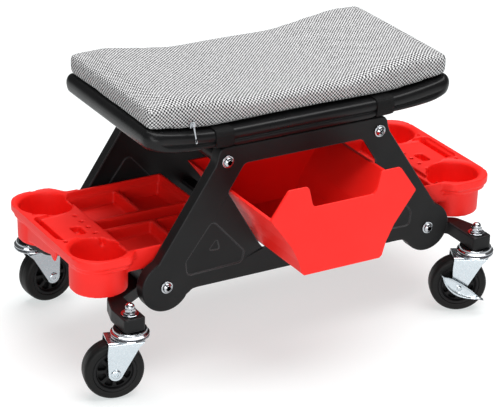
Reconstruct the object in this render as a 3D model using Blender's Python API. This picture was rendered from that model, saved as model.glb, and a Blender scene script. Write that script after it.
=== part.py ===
"""Mechanics creeper seat: dished padded seat on two formed side plates, with a pull-out bin,
two pull-out tool trays and four swivel casters.

Metres, +Z up. +X runs along the seat, +Y goes from the bin front towards the back.
Origin: on the floor, under the centre of the whole seat with its bin and casters. The shape below is drawn
about the centre between the two side plates; the root empty sets it off by ORIGIN_X, ORIGIN_Y.
"""
import math

import bmesh
import bpy
from mathutils import Matrix, Vector

MM = 0.001
GAP = 0.3                     # clearance left between touching pieces
ORIGIN_X, ORIGIN_Y = 5.1, 23.75   # from the origin to the centre between the side plates

# ---- casters
WHEEL_R = 37.5
WHEEL_HALF_W = 12.0
TRAIL = 21.0
CASTER_X, CASTER_Y = 253.0, 139.0
FORK_TOP = 82.5
CASTERS = {                   # heading of the trailing wheel, degrees from +X
    "fl": (-1, -1, 166.0),
    "fr": (1, -1, 155.0),
    "bl": (-1, 1, 5.0),
    "br": (1, 1, 200.0),
}

# ---- caster beams and cross members
BEAM_Z = (90.0, 107.6)
BEAM_OUTER = [(267.0, -154.5), (267.0, -116.0), (258.0, -86.0), (214.0, -58.0)]   # front half, from the free end
BEAM_INNER = [(239.0, -154.5), (239.0, -94.0), (182.0, -58.0)]
LOWER_X, LOWER_Z = 191.0, 119.0
UPPER_X, UPPER_Z = 109.0, 269.3

# ---- side plates
PLATE_Y = 115.3               # outer face
SHEET = 2.5
FLANGE = 16.0                 # folded depth measured from the outer face
PLATE_TOP = 287.4
LOBE_R = 33.0

# ---- seat
BASE_L, BASE_W = 218.5, 118.0
BASE_Z = (290.0, 311.0)
CUSHION_L, CUSHION_W = 218.0, 113.0
CUSHION_Z = (313.2, 341.0)
DISH_X0, DISH_X1, DISH_H = 108.0, 214.0, 13.0
PAD_X = 99.0                  # the middle of the base sits lower, straight on the plates
STRAP_X, STRAP_W, STRAP_T = 114.5, 25.0, 1.5

# ---- bin
BIN_Y = (-210.5, -4.0)
BIN_WALL = 3.0

# ---- trays
TRAY_RIM = 168.0
LIP_BOTTOM, BAND_BOTTOM = 157.0, 150.5
TRAY_END = 301.0
CUP_X, CUP_R = 259.5, 36.5
CUPS = [(-68.0, 116.0), (82.0, 121.0)]      # y and lowest z of the front and the back cup
TONGUE_BOTTOM = 139.0
DECK = 163.0
RIB_TOP = 158.0
COMPARTMENTS = [(156.5, 224.0, 24.0, 93.0), (92.0, 152.5, 24.0, 93.0), (92.0, 224.0, -6.0, 20.5),
                (156.5, 222.0, -93.0, -9.5), (92.0, 152.5, -93.0, -9.5)]


# ------------------------------------------------------------------ scene helpers
for old in list(bpy.data.objects):
    bpy.data.objects.remove(old, do_unlink=True)

ROOT = bpy.data.objects.new("creeper", None)
ROOT.location = (ORIGIN_X * MM, ORIGIN_Y * MM, 0.0)
bpy.context.scene.collection.objects.link(ROOT)


def material(name, rgb, metallic=0.0, roughness=0.5):
    mat = bpy.data.materials.new(name)
    mat.use_nodes = True
    bsdf = mat.node_tree.nodes["Principled BSDF"]
    bsdf.inputs["Base Color"].default_value = (*rgb, 1.0)
    bsdf.inputs["Metallic"].default_value = metallic
    bsdf.inputs["Roughness"].default_value = roughness
    return mat


def finish_mesh(name, bm, mat=None):
    """Weld, face out, and link a bmesh as an object. Coordinates come in millimetres."""
    bmesh.ops.remove_doubles(bm, verts=bm.verts, dist=0.02)
    bmesh.ops.recalc_face_normals(bm, faces=bm.faces)
    bmesh.ops.scale(bm, vec=(MM, MM, MM), verts=bm.verts)
    mesh = bpy.data.meshes.new(name)
    bm.to_mesh(mesh)
    bm.free()
    obj = bpy.data.objects.new(name, mesh)
    bpy.context.scene.collection.objects.link(obj)
    if mat is not None:
        paint(obj, mat)
    return obj


def pivot(obj, x, y, z):
    """Put the object's origin at a point given in millimetres, and leave the shape where it is."""
    point = Vector((x, y, z)) * MM
    obj.data.transform(Matrix.Translation(-point))
    obj.location = point


def paint(obj, look):
    rgb, metallic, roughness = look
    mat = material("mat_" + obj.name, rgb, metallic, roughness)
    obj.parent = ROOT
    obj.data.materials.clear()
    obj.data.materials.append(mat)
    for poly in obj.data.polygons:
        poly.material_index = 0


def to3(axis, u, v, w):
    """2-D point (u, v) with height w along the axis. X: (w,u,v), Y: (u,w,v), Z: (u,v,w)."""
    if axis == "X":
        return (w, u, v)
    if axis == "Y":
        return (u, w, v)
    return (u, v, w)


def add_prism(bm, outline, axis, lo, hi):
    bottom = [bm.verts.new(to3(axis, u, v, lo)) for u, v in outline]
    top = [bm.verts.new(to3(axis, u, v, hi)) for u, v in outline]
    bm.faces.new(bottom)
    bm.faces.new(top)
    n = len(outline)
    for i in range(n):
        j = (i + 1) % n
        bm.faces.new((bottom[i], bottom[j], top[j], top[i]))


def add_loft(bm, rings):
    """Closed body through rings of equal point count, flat ends."""
    rows = [[bm.verts.new(p) for p in ring] for ring in rings]
    bm.faces.new(rows[0])
    bm.faces.new(rows[-1])
    n = len(rings[0])
    for a, b in zip(rows, rows[1:]):
        for i in range(n):
            j = (i + 1) % n
            bm.faces.new((a[i], a[j], b[j], b[i]))


def add_closed_sweep(bm, rings):
    """Ring-shaped body: the last ring joins the first."""
    rows = [[bm.verts.new(p) for p in ring] for ring in rings]
    n = len(rings[0])
    for k in range(len(rows)):
        a, b = rows[k], rows[(k + 1) % len(rows)]
        for i in range(n):
            j = (i + 1) % n
            bm.faces.new((a[i], a[j], b[j], b[i]))


def circle(cx, cy, r, n=24, start=0.0):
    return [(cx + r * math.cos(start + 2 * math.pi * i / n), cy + r * math.sin(start + 2 * math.pi * i / n))
            for i in range(n)]


def arc(cx, cy, r, a0, a1, n):
    out = []
    for i in range(n + 1):
        a = math.radians(a0 + (a1 - a0) * i / n)
        out.append((cx + r * math.cos(a), cy + r * math.sin(a)))
    return out


def rounded(points, radii, segs=4):
    """Fillet the corners of a closed 2-D outline. radii is one number or one per corner."""
    n = len(points)
    if not isinstance(radii, (list, tuple)):
        radii = [radii] * n
    out = []
    for i in range(n):
        p = Vector(points[i])
        if radii[i] <= 0:
            out.append(tuple(p))
            continue
        a = Vector(points[i - 1]) - p
        b = Vector(points[(i + 1) % n]) - p
        la, lb = a.length, b.length
        a.normalize()
        b.normalize()
        half = math.acos(max(-1, min(1, a.dot(b)))) / 2
        if abs(half - math.pi / 2) < 1e-3:
            out.append(tuple(p))
            continue
        cut = min(radii[i] / math.tan(half), 0.49 * la, 0.49 * lb)
        r = cut * math.tan(half)
        centre = p + (a + b).normalized() * (r / math.sin(half))
        start = p + a * cut - centre
        end = p + b * cut - centre
        a0 = math.atan2(start.y, start.x)
        turn = math.atan2(end.y, end.x) - a0
        while turn > math.pi:
            turn -= 2 * math.pi
        while turn < -math.pi:
            turn += 2 * math.pi
        for k in range(segs + 1):
            t = a0 + turn * k / segs
            out.append((centre.x + r * math.cos(t), centre.y + r * math.sin(t)))
    return out


def offset(points, d):
    """Move every side of a closed outline inwards by d (outwards when negative)."""
    n = len(points)
    area = sum(points[i][0] * points[(i + 1) % n][1] - points[(i + 1) % n][0] * points[i][1] for i in range(n))
    s = 1 if area > 0 else -1
    out = []
    for i in range(n):
        p0, p1, p2 = Vector(points[i - 1]), Vector(points[i]), Vector(points[(i + 1) % n])
        e0, e1 = (p1 - p0).normalized(), (p2 - p1).normalized()
        n0, n1 = Vector((-e0.y, e0.x)) * s, Vector((-e1.y, e1.x)) * s
        m = n0 + n1
        m = m / max(0.3, 1 + n0.dot(n1))
        out.append((p1.x + m.x * d, p1.y + m.y * d))
    return out


def mirror_x(points):
    return [(-u, v) for u, v in reversed(points)]


def prism(name, outline, axis, lo, hi, mat=None):
    bm = bmesh.new()
    add_prism(bm, outline, axis, lo, hi)
    return finish_mesh(name, bm, mat)


def box(name, lo, hi, mat=None):
    return prism(name, [(lo[0], lo[1]), (hi[0], lo[1]), (hi[0], hi[1]), (lo[0], hi[1])], "Z", lo[2], hi[2], mat)


def add_lathe(bm, profile, axis, centre, n):
    """Revolve a closed profile of (radius, height) points about an axis through centre."""
    on_axis = [abs(r) < 1e-6 for r, h in profile]
    cols = []
    for k in range(n):
        a = 2 * math.pi * k / n
        col = []
        for (r, h), flat in zip(profile, on_axis):
            if flat and k:
                col.append(cols[0][len(col)])
                continue
            u, v = r * math.cos(a), r * math.sin(a)
            p = to3(axis, u, v, h)
            col.append(bm.verts.new((p[0] + centre[0], p[1] + centre[1], p[2] + centre[2])))
        cols.append(col)
    m = len(profile)
    for k in range(n):
        a, b = cols[k], cols[(k + 1) % n]
        for i in range(m):
            j = (i + 1) % m
            quad = []
            for vert in (a[i], a[j], b[j], b[i]):
                if vert not in quad:
                    quad.append(vert)
            if len(quad) >= 3:
                bm.faces.new(quad)


def lathe(name, profile, axis, centre, n, mat=None):
    bm = bmesh.new()
    add_lathe(bm, profile, axis, centre, n)
    return finish_mesh(name, bm, mat)


def combine(target, tools, operation="DIFFERENCE"):
    """Apply exact booleans one after the other and drop the tools."""
    for tool in tools:
        mod = target.modifiers.new("cut", "BOOLEAN")
        mod.solver = "EXACT"
        mod.operation = operation
        mod.object = tool
        graph = bpy.context.evaluated_depsgraph_get()
        graph.update()
        mesh = bpy.data.meshes.new_from_object(target.evaluated_get(graph))
        target.modifiers.clear()
        old = target.data
        mesh.name = old.name + "_c"
        target.data = mesh
        bpy.data.meshes.remove(old)
        tool_mesh = tool.data
        bpy.data.objects.remove(tool, do_unlink=True)
        bpy.data.meshes.remove(tool_mesh)
    return target


def tidy(obj, dist=0.02):
    """Weld slivers left by a boolean and join coplanar faces."""
    bm = bmesh.new()
    bm.from_mesh(obj.data)
    bmesh.ops.remove_doubles(bm, verts=bm.verts, dist=dist * MM)
    bmesh.ops.dissolve_limit(bm, angle_limit=math.radians(0.3), verts=bm.verts, edges=bm.edges)
    bmesh.ops.triangulate(bm, faces=[f for f in bm.faces if len(f.verts) > 4])
    bmesh.ops.recalc_face_normals(bm, faces=bm.faces)
    bm.to_mesh(obj.data)
    bm.free()
    return obj


BLACK_PAINT = ((0.020, 0.020, 0.022), 0.0, 0.42)
BLACK_MOULD = ((0.022, 0.022, 0.024), 0.0, 0.38)
ZINC = ((0.62, 0.65, 0.68), 1.0, 0.28)
CHROME = ((0.78, 0.79, 0.80), 1.0, 0.12)
RED = ((0.72, 0.012, 0.010), 0.0, 0.35)
RUBBER = ((0.018, 0.018, 0.018), 0.0, 0.62)
HUB = ((0.030, 0.030, 0.032), 0.0, 0.45)
CLOTH = ((0.60, 0.60, 0.61), 0.0, 0.9)
WEBBING = ((0.030, 0.030, 0.032), 0.0, 0.7)


# ------------------------------------------------------------------ side plates
def plate_outline():
    """Right half from the top centre clockwise to the bottom centre, then mirrored."""
    right = [(112.0, PLATE_TOP), (117.5, 285.6), (121.0, 281.0), (123.0, 272.0), (125.4, 265.5), (201.8, 150.6)]
    right += arc(LOWER_X, LOWER_Z, LOBE_R, 64.0, -150.0, 15)
    right += [(158.5, 105.0), (153.5, 108.2), (147.0, 108.8)]
    return right + [(-u, v) for u, v in reversed(right)]


WINDOW = [(84.5, 262.5), (107.0, 227.5), (60.3, 148.6), (56.0, 143.6),
          (-56.0, 143.6), (-60.3, 148.6), (-107.0, 227.5), (-84.5, 262.5)]
WINDOW_RADII = [9, 5, 4, 4, 4, 4, 5, 9]
EMBOSS = [(127.8, 197.0), (166.0, 147.0), (164.0, 126.0), (85.0, 128.5), (80.8, 145.1)]
EMBOSS_IN = [(120.3, 170.0), (134.0, 154.0), (116.5, 153.5)]


def side_plate(name, side, window):
    """side is -1 for the front plate and +1 for the back one."""
    outline = plate_outline()
    y_out, y_in = side * PLATE_Y, side * (PLATE_Y - FLANGE)
    obj = prism(name, outline, "Y", min(y_out, y_in), max(y_out, y_in))
    # hollow behind the sheet, folded in all round but open along the bottom between the lobes
    inner = offset(outline, SHEET)
    y_a, y_b = side * (PLATE_Y - SHEET), side * (PLATE_Y - FLANGE - 10)
    tools = [prism("t1", inner, "Y", min(y_a, y_b), max(y_a, y_b))]
    tools.append(box("t2", (-150, min(y_a, y_b), 92), (150, max(y_a, y_b), 122)))
    y0, y1 = side * (PLATE_Y - SHEET - 1), side * (PLATE_Y + 1)
    if window:
        tools.append(prism("t3", rounded(WINDOW, WINDOW_RADII, 3), "Y", min(y0, y1), max(y0, y1)))
    for sx in (-1, 1):
        for hx, hz in ((UPPER_X, UPPER_Z), (LOWER_X, LOWER_Z)):
            tools.append(prism("t4", circle(sx * hx, hz, 3.4, 10), "Y", min(y0, y1), max(y0, y1)))
    combine(obj, tools)
    # triangles pressed 1.3 into the sheet, each with a deeper little triangle in it
    for sx in (-1, 1):
        tri = rounded([(sx * u, v) for u, v in EMBOSS], 8.0, 3)
        small = rounded([(sx * u, v) for u, v in EMBOSS_IN], 2.0, 3)
        combine(obj, [pressing(tri, side, PLATE_Y - SHEET + 1.0, PLATE_Y - SHEET - 1.3, 0.0, 1.0)], "UNION")
        combine(obj, [pressing(tri, side, PLATE_Y + 1.0, PLATE_Y - 1.3, 0.6, 1.4),
                      pressing(small, side, PLATE_Y + 1.0, PLATE_Y - 2.2, 0.0, 0.7)])
    tidy(obj)
    paint(obj, BLACK_PAINT)
    return obj


def pressing(outline, side, y_from, y_to, inset_from, inset_to):
    """Sloped plug between two depths of the sheet."""
    a, b = offset(outline, inset_from), offset(outline, inset_from + inset_to)
    bm = bmesh.new()
    add_loft(bm, [[(u, side * y_from, v) for u, v in a], [(u, side * y_to, v) for u, v in b]])
    return finish_mesh("pressing", bm)


side_plate("side_plate_front", -1, True)
side_plate("side_plate_back", 1, False)


# ------------------------------------------------------------------ cross members
def cross_members():
    end = PLATE_Y - SHEET - GAP
    for tag, sx in (("left", -1), ("right", 1)):
        bar = prism("crossbar_upper_" + tag, circle(sx * UPPER_X, UPPER_Z, 10.0, 20), "Y", -end, end)
        holes = []
        for s in (-1, 1):
            lo, hi = sorted((s * (end - 16), s * (end + 2)))
            holes.append(prism("h", circle(sx * UPPER_X, UPPER_Z, 3.4, 10), "Y", lo, hi))
        combine(bar, holes)
        paint(tidy(bar), BLACK_PAINT)

        x = sx * LOWER_X
        tube = prism("cross_tube_lower_" + tag,
                     rounded([(x - 14, 107.9), (x + 14, 107.9), (x + 14, 130.3), (x - 14, 130.3)], 3.0, 2),
                     "Y", -end, end)
        holes = []
        for s in (-1, 1):
            lo, hi = sorted((s * (end - 16), s * (end + 2)))
            holes.append(prism("h", circle(x, LOWER_Z, 3.4, 10), "Y", lo, hi))
        combine(tube, holes)
        paint(tidy(tube), BLACK_PAINT)

        mount = rounded([(sx * UPPER_X - 13, -88), (sx * UPPER_X + 13, -88),
                         (sx * UPPER_X + 13, 88), (sx * UPPER_X - 13, 88)], 4.0, 2)
        prism("seat_mount_" + tag, mount, "Z", UPPER_Z + 10.0 + GAP, PLATE_TOP, BLACK_PAINT)


cross_members()


def plate_bolts():
    """Eight identical flanged button-head screws, four in each plate."""
    f = PLATE_Y + GAP
    prof = [(0, f - 17), (3.0, f - 17), (3.0, f), (8.0, f), (8.0, f + 1.5), (6.4, f + 1.7),
            (5.8, f + 4.0), (3.4, f + 5.7), (0, f + 5.7)]
    for where, side in (("front", -1), ("back", 1)):
        turned = [(r, side * h) for r, h in prof]
        for level, hx, hz in (("upper", UPPER_X, UPPER_Z), ("lower", LOWER_X, LOWER_Z)):
            for hand, sx in (("left", -1), ("right", 1)):
                lathe("bolt_%s_%s_%s" % (where, level, hand), turned, "Y", (sx * hx, 0, hz), 10, ZINC)


plate_bolts()


# ------------------------------------------------------------------ caster beams
def beam_outline():
    """Bent strip, wider at its free ends, which carry the casters, and under the plates."""
    front = list(reversed(BEAM_INNER)) + BEAM_OUTER
    radii = [8.0, 6.0, 4.0, 5.0, 22.0, 14.0, 8.0]
    back = [(x, -y) for x, y in reversed(front)]
    return rounded(front + back, radii + radii[::-1], 4)


def beams():
    outline = beam_outline()
    for tag, sx in (("right", 1), ("left", -1)):
        pts = outline if sx > 0 else mirror_x(outline)
        edge = offset(pts, 1.6)
        bm = bmesh.new()
        z0, z1 = BEAM_Z
        add_loft(bm, [[(u, v, z0) for u, v in edge], [(u, v, z0 + 1.6) for u, v in pts],
                      [(u, v, z1 - 1.6) for u, v in pts], [(u, v, z1) for u, v in edge]])
        obj = finish_mesh("caster_beam_" + tag, bm)
        combine(obj, [prism("h", circle(sx * CASTER_X, s * CASTER_Y, 6.4, 16), "Z", z0 - 5, z1 + 5)
                      for s in (-1, 1)])
        paint(tidy(obj), BLACK_PAINT)


beams()


def caster_hardware():
    """Stems with their fixed upper race, and the flanged nuts on top of the beams."""
    z0, z1 = BEAM_Z
    stem = [(0, FORK_TOP + GAP), (22.0, FORK_TOP + GAP), (24.0, 84.1), (23.2, 86.4), (20.5, 87.0), (20.5, z0 - GAP),
            (6.0, z0 - GAP), (6.0, z1 - 2.0), (4.2, z1 - 1.0), (4.2, 116.0), (0, 116.0)]
    for tag, (sx, sy, heading) in CASTERS.items():
        c = (sx * CASTER_X, sy * CASTER_Y, 0)
        lathe("caster_stem_" + tag, stem, "Z", c, 20, CHROME)
        nut = lathe("caster_nut_" + tag, [(4.5, z1 + GAP), (11.0, z1 + GAP), (11.0, 109.7), (8.4, 109.9), (8.4, 111.9),
                                          (5.8, 112.1), (5.8, 118.0), (4.6, 120.6), (2.4, 122.2), (0, 122.6),
                                          (0, 116.4), (4.5, 116.4)], "Z", c, 16)
        flats = [(c[0] + 7.2 * math.cos(math.radians(d)), c[1] + 7.2 * math.sin(math.radians(d)))
                 for d in range(12, 372, 60)]
        ring = prism("hex", flats, "Z", 111.5, 116.0)
        combine(ring, [prism("bore", circle(c[0], c[1], 4.9, 16), "Z", 110.0, 118.0)])
        combine(nut, [ring], "UNION")
        paint(tidy(nut), ZINC)


caster_hardware()


# ------------------------------------------------------------------ seat base, cushion, straps
def dish(x):
    """Rise of the seat base towards its ends."""
    t = max(0.0, (abs(x) - DISH_X0) / (DISH_X1 - DISH_X0))
    return DISH_H * t * t * (3.0 - t) / 2.0 if t < 1.0 else DISH_H


def dish_top(x):
    """Rise of the cushion's upper face, softer than the base under it."""
    t = min(1.0, max(0.0, (abs(x) - 55.0) / 140.0))
    return 16.0 * t * t * (3.0 - 2.0 * t)


def stations(length, corner, n_mid):
    xs = [-length + corner * (1 - math.cos(a)) for a in [math.radians(d) for d in (0, 22, 45, 68, 90)]]
    inner = xs[-1]
    mids = [inner + (-2 * inner) * k / n_mid for k in range(1, n_mid)]
    return xs + mids + [-x for x in reversed(xs)]


def half_width(x, length, width, corner):
    d = abs(x) - (length - corner)
    if d <= 0:
        return width
    return width - corner + math.sqrt(max(0.0, corner * corner - d * d))


def seat_base():
    """Dished pan: upper roll, groove and lower band all round the long sides."""
    z0, z1 = BASE_Z
    h = z1 - z0
    prof = [(8, 0), (2.6, 0.6), (0.8, 2.5), (0.6, h * 0.40), (2.4, h * 0.46), (2.4, h * 0.50), (0.3, h * 0.56),
            (0, h * 0.72), (1.0, h * 0.90), (3.2, h * 0.985), (7, h)]
    xs = [x for x in stations(BASE_L, 16.0, 20) if abs(abs(x) - PAD_X) > 4]
    xs = sorted(xs + [-PAD_X - 1.5, -PAD_X, PAD_X, PAD_X + 1.5])
    rings = []
    for x in xs:
        w = half_width(x, BASE_L, BASE_W, 16.0)
        lift = dish(x)
        drop = z0 - PLATE_TOP - GAP if abs(x) <= PAD_X else 0.0
        deep = 3.5 * min(1.0, max(0.0, (abs(x) - STRAP_X - STRAP_W / 2 - 2.0) / 50.0))
        left = [(-(w - i), z0 + z + lift - (drop if k < 2 else drop * 0.6 if k == 2 else 0.0)
                 - deep * (1 - min(1.0, z / (h * 0.4))))
                for k, (i, z) in enumerate(prof)]
        ring = left + [(-y, z) for y, z in reversed(left)]
        rings.append([(x, y, z) for y, z in ring])
    bm = bmesh.new()
    add_loft(bm, rings)
    obj = finish_mesh("seat_base", bm, BLACK_MOULD)
    return obj


def cushion():
    """Soft pad, plain closed solid here."""
    z0, z1 = CUSHION_Z
    h = z1 - z0
    prof = [(8, 0), (2.5, 0.03), (0.3, 0.14), (0, 0.45), (0, 0.74), (1.2, 0.90), (4.5, 0.985), (16, 1.0), (50, 1.0)]
    rings = []
    for x in stations(CUSHION_L, 11.0, 16):
        w = half_width(x, CUSHION_L, CUSHION_W, 11.0)
        t = max(0.0, (abs(x) - CUSHION_L + 5.0) / 5.0)
        low, high = z0 + dish(x) + 2.0 * t * t, z1 + dish_top(x) - 3.5 * t * t
        left = [(-(w - i), low + (high - low) * k) for i, k in prof]
        ring = left + [(-y, z) for y, z in reversed(left)]
        rings.append([(x, y, z) for y, z in ring])
    bm = bmesh.new()
    add_loft(bm, rings)
    return finish_mesh("cushion", bm, CLOTH)


def straps():
    """Webbing band round the base: a closed loop lying just off every face of it."""
    z0, z1 = BASE_Z
    t, g = STRAP_T, 0.35
    for tag, sx in (("left", -1), ("right", 1)):
        xc = sx * STRAP_X
        y = BASE_W + g
        top, bottom = z1 + g, z0 - g
        path_in = rounded([(-y, bottom), (y, bottom), (y, top), (-y, top)], 2.2, 2)
        path_out = offset(path_in, -t)
        rings = []
        across = (xc - STRAP_W / 2, xc, xc + STRAP_W / 2)
        for (yi, zi), (yo, zo) in zip(path_in, path_out):
            ring = [(x, yi, zi + dish(x)) for x in across]
            ring += [(x, yo, zo + dish(x)) for x in reversed(across)]
            rings.append(ring)
        bm = bmesh.new()
        add_closed_sweep(bm, rings)
        finish_mesh("strap_" + tag, bm, WEBBING)


seat_base()
cushion()
straps()


# ------------------------------------------------------------------ bin
def bin_tub():
    """Long tub with a raised, eared and notched front end; its back end stops at the rim."""
    body = [(-103, 227.5), (-73, 187), (-62.5, 166), (-57.5, 149), (-54, 145.6), (54, 145.6), (57.5, 149),
            (62.5, 166), (73, 187), (103, 227.5)]
    end_top = [(103, 227.5), (79, 261.5), (51.5, 261.5), (45.5, 238), (41, 233), (-41, 233), (-45.5, 238),
               (-51.5, 261.5), (-79, 261.5), (-103, 227.5)]
    y0, y1 = BIN_Y
    end = rounded(body[1:-1]
                  + end_top, [0, 0, 0, 2, 2, 0, 0, 0, 3, 5, 5, 4, 5, 5, 4, 5, 5, 3], 2)
    obj = prism("bin", end, "Y", y0, y0 + BIN_WALL)
    combine(obj, [prism("m", body, "Y", y0 + BIN_WALL * 0.5, y1)], "UNION")
    hollow = [(-98.8, 229), (-98.8, 227.5), (-69.5, 188), (-59.3, 167), (-54.6, 150.5), (-52.4, 148.6),
              (52.4, 148.6), (54.6, 150.5), (59.3, 167), (69.5, 188), (98.8, 227.5), (98.8, 229)]
    combine(obj, [prism("h", hollow, "Y", y0 + BIN_WALL, y1 - BIN_WALL)])
    paint(tidy(obj), RED)
    pivot(obj, 0, BIN_Y[0], 145.6)


bin_tub()


def rails():
    """Two strips across the plates that carry the bin, and two under the trays."""
    end = PLATE_Y - SHEET - GAP
    for tag, sx in (("left", -1), ("right", 1)):
        x = sx * 40.0
        top = 145.6 - GAP
        prism("bin_rail_" + tag, [(x - 8, 139.0), (x + 8, 139.0), (x + 8, top), (x - 8, top)], "Y", -end, end,
              BLACK_PAINT)
    for tag, sy in (("front", -1), ("back", 1)):
        y = sy * 66.0
        pts = rounded([(y - 5.5, 130.6), (y + 5.5, 130.6), (y + 5.5, 138.6), (y - 5.5, 138.6)], [0, 0, 3, 3], 2)
        prism("tray_runner_" + tag, pts, "X", -207.0, 207.0, BLACK_PAINT)


rails()


# ------------------------------------------------------------------ trays
def head_rect(inset):
    """Plan of the outer part, rounded about the cups and drawn in to meet the tongue."""
    pts = [(206, -96), (223, -96), (237, -112), (TRAY_END, -112), (TRAY_END, 121), (237, 121), (223, 100), (206, 100)]
    return offset(rounded(pts, [0, 8, 16, 34, 36, 16, 8, 0], 5), inset)


def taper(low, high, z0, z1):
    bm = bmesh.new()
    add_loft(bm, [[(u, v, z0) for u, v in low], [(u, v, z1) for u, v in high]])
    return finish_mesh("taper", bm)


def tray(name, side):
    """Moulded tray. Modelled for the right-hand side; the left one is its mirror image."""
    rim = TRAY_RIM
    obj = prism(name, head_rect(0.0), "Z", LIP_BOTTOM, rim)
    parts = [prism("p", head_rect(3.5), "Z", BAND_BOTTOM, LIP_BOTTOM + 1)]
    for y, z in CUPS:
        parts.append(prism("p", circle(CUP_X, y, CUP_R, 28), "Z", z, rim - 5))
    # skirt between the middle and the back cup, with a pointed tab
    skirt = [(82, 125), (82, 152), (-17, 152), (-17, 142), (-11, 131), (-5.5, 131), (0, 135.5), (18, 131.5), (36, 129)]
    parts.append(prism("p", skirt, "X", 288.5, 292.0))
    parts.append(prism("p", [(281, -40), (294, -40), (294, 56), (281, 56)], "Z", 148.0, 154.0))
    tongue = [(88.0, -97.0), (262.0, -97.0), (262.0, 97.0), (88.0, 97.0)]
    low = [(94.0, -94.5), (240.0, -94.5), (240.0, 94.5), (94.0, 94.5)]
    parts.append(taper(low, tongue, TONGUE_BOTTOM, rim))
    combine(obj, parts, "UNION")

    cuts = []
    for y, z in CUPS:
        cuts.append(taper(circle(CUP_X, y, CUP_R - 5.0, 28), circle(CUP_X, y, CUP_R - 1.6, 28), z + 3, rim + 4))
    # sunken deck between and inside of the cups
    deck = [(226, -93.0), (232, -93.0), (243, -34.0), (295, -27.0), (295, 44.0), (243, 49.0), (232, 94.0), (226, 94.0)]
    cuts.append(prism("c", deck, "Z", DECK, rim + 4))
    cuts.append(prism("c", rounded([(283.5, -30), (292, -30), (292, 46), (283.5, 46)], 4.0, 2), "Z", 151.0, rim + 4))
    cuts.append(prism("c", rounded([(249, -16), (262, -16), (262, 8), (249, 8)], 2.0, 2), "Z", 153.5, rim))
    for hy in (-39, -20, -1, 18, 37):
        cuts.append(prism("c", circle(240.0, hy, 2.7, 8), "Z", 153.5, rim))
    for hy in (-36.5, 54.0):
        cuts.append(prism("c", circle(288.0, hy, 2.4, 8), "Z", 155.0, rim + 4))
    # compartments of the tongue, open to the rim: (x0, x1, y0, y1)
    for x0, x1, y0, y1 in COMPARTMENTS:
        top = [(x0, y0), (x1, y0), (x1, y1), (x0, y1)]
        cuts.append(taper(offset(top, 2.5), top, TONGUE_BOTTOM + 3, rim + 4))
    # ribs and partitions stop short of the rim
    cuts.append(prism("c", [(91, -93.4), (226, -93.4), (226, 93.4), (91, 93.4)], "Z", RIB_TOP, rim + 4))
    combine(obj, cuts)
    tidy(obj)
    if side < 0:
        obj.data.transform(Matrix.Scale(-1, 4, Vector((1, 0, 0))))
        obj.data.flip_normals()
    paint(obj, RED)
    pivot(obj, side * CUP_X, 0, TONGUE_BOTTOM)


tray("tray_left", -1)
tray("tray_right", 1)


# ------------------------------------------------------------------ casters
def wheel(tag, centre, spin):
    """Tyre and spoked hub, built about local Y then turned to the caster's heading."""
    place = Matrix.Translation(Vector(centre) * MM) @ Matrix.Rotation(spin, 4, "Z")
    w = WHEEL_HALF_W
    prof = [(27.0, -w + 0.8), (28.5, -w), (33.5, -w), (36.6, -w + 2.6), (WHEEL_R, -w + 7), (WHEEL_R, w - 7),
            (36.6, w - 2.6), (33.5, w), (28.5, w), (27.0, w - 0.8)]
    tyre = lathe("tyre_" + tag, prof, "Y", (0, 0, 0), 24, RUBBER)
    tyre.matrix_basis = place
    hub_prof = [(4.4, -w - 1.5), (8.5, -w - 1.5), (9.5, -w + 3.5), (22.5, -w + 5.0), (24.5, -w + 1.6),
                (27.0 - GAP, -w + 1.6), (27.0 - GAP, w - 1.6), (24.5, w - 1.6), (22.5, w - 5.0), (9.5, w - 3.5),
                (8.5, w + 1.5), (4.4, w + 1.5)]
    hub = lathe("hub_" + tag, hub_prof, "Y", (0, 0, 0), 24)
    cuts = []
    for side in (-1, 1):
        for k in range(8):
            a = 2 * math.pi * (k + 0.5) / 8
            da, db = 0.24, 0.30
            pts = [(11.5 * math.cos(a - da), 11.5 * math.sin(a - da)), (21.0 * math.cos(a - db), 21.0 * math.sin(a - db)),
                   (21.0 * math.cos(a + db), 21.0 * math.sin(a + db)), (11.5 * math.cos(a + da), 11.5 * math.sin(a + da))]
            lo, hi = sorted((side * 2.0, side * 14.0))
            cuts.append(prism("c", pts, "Y", lo, hi))
    combine(hub, cuts)
    paint(tidy(hub), HUB)
    hub.matrix_basis = place


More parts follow.
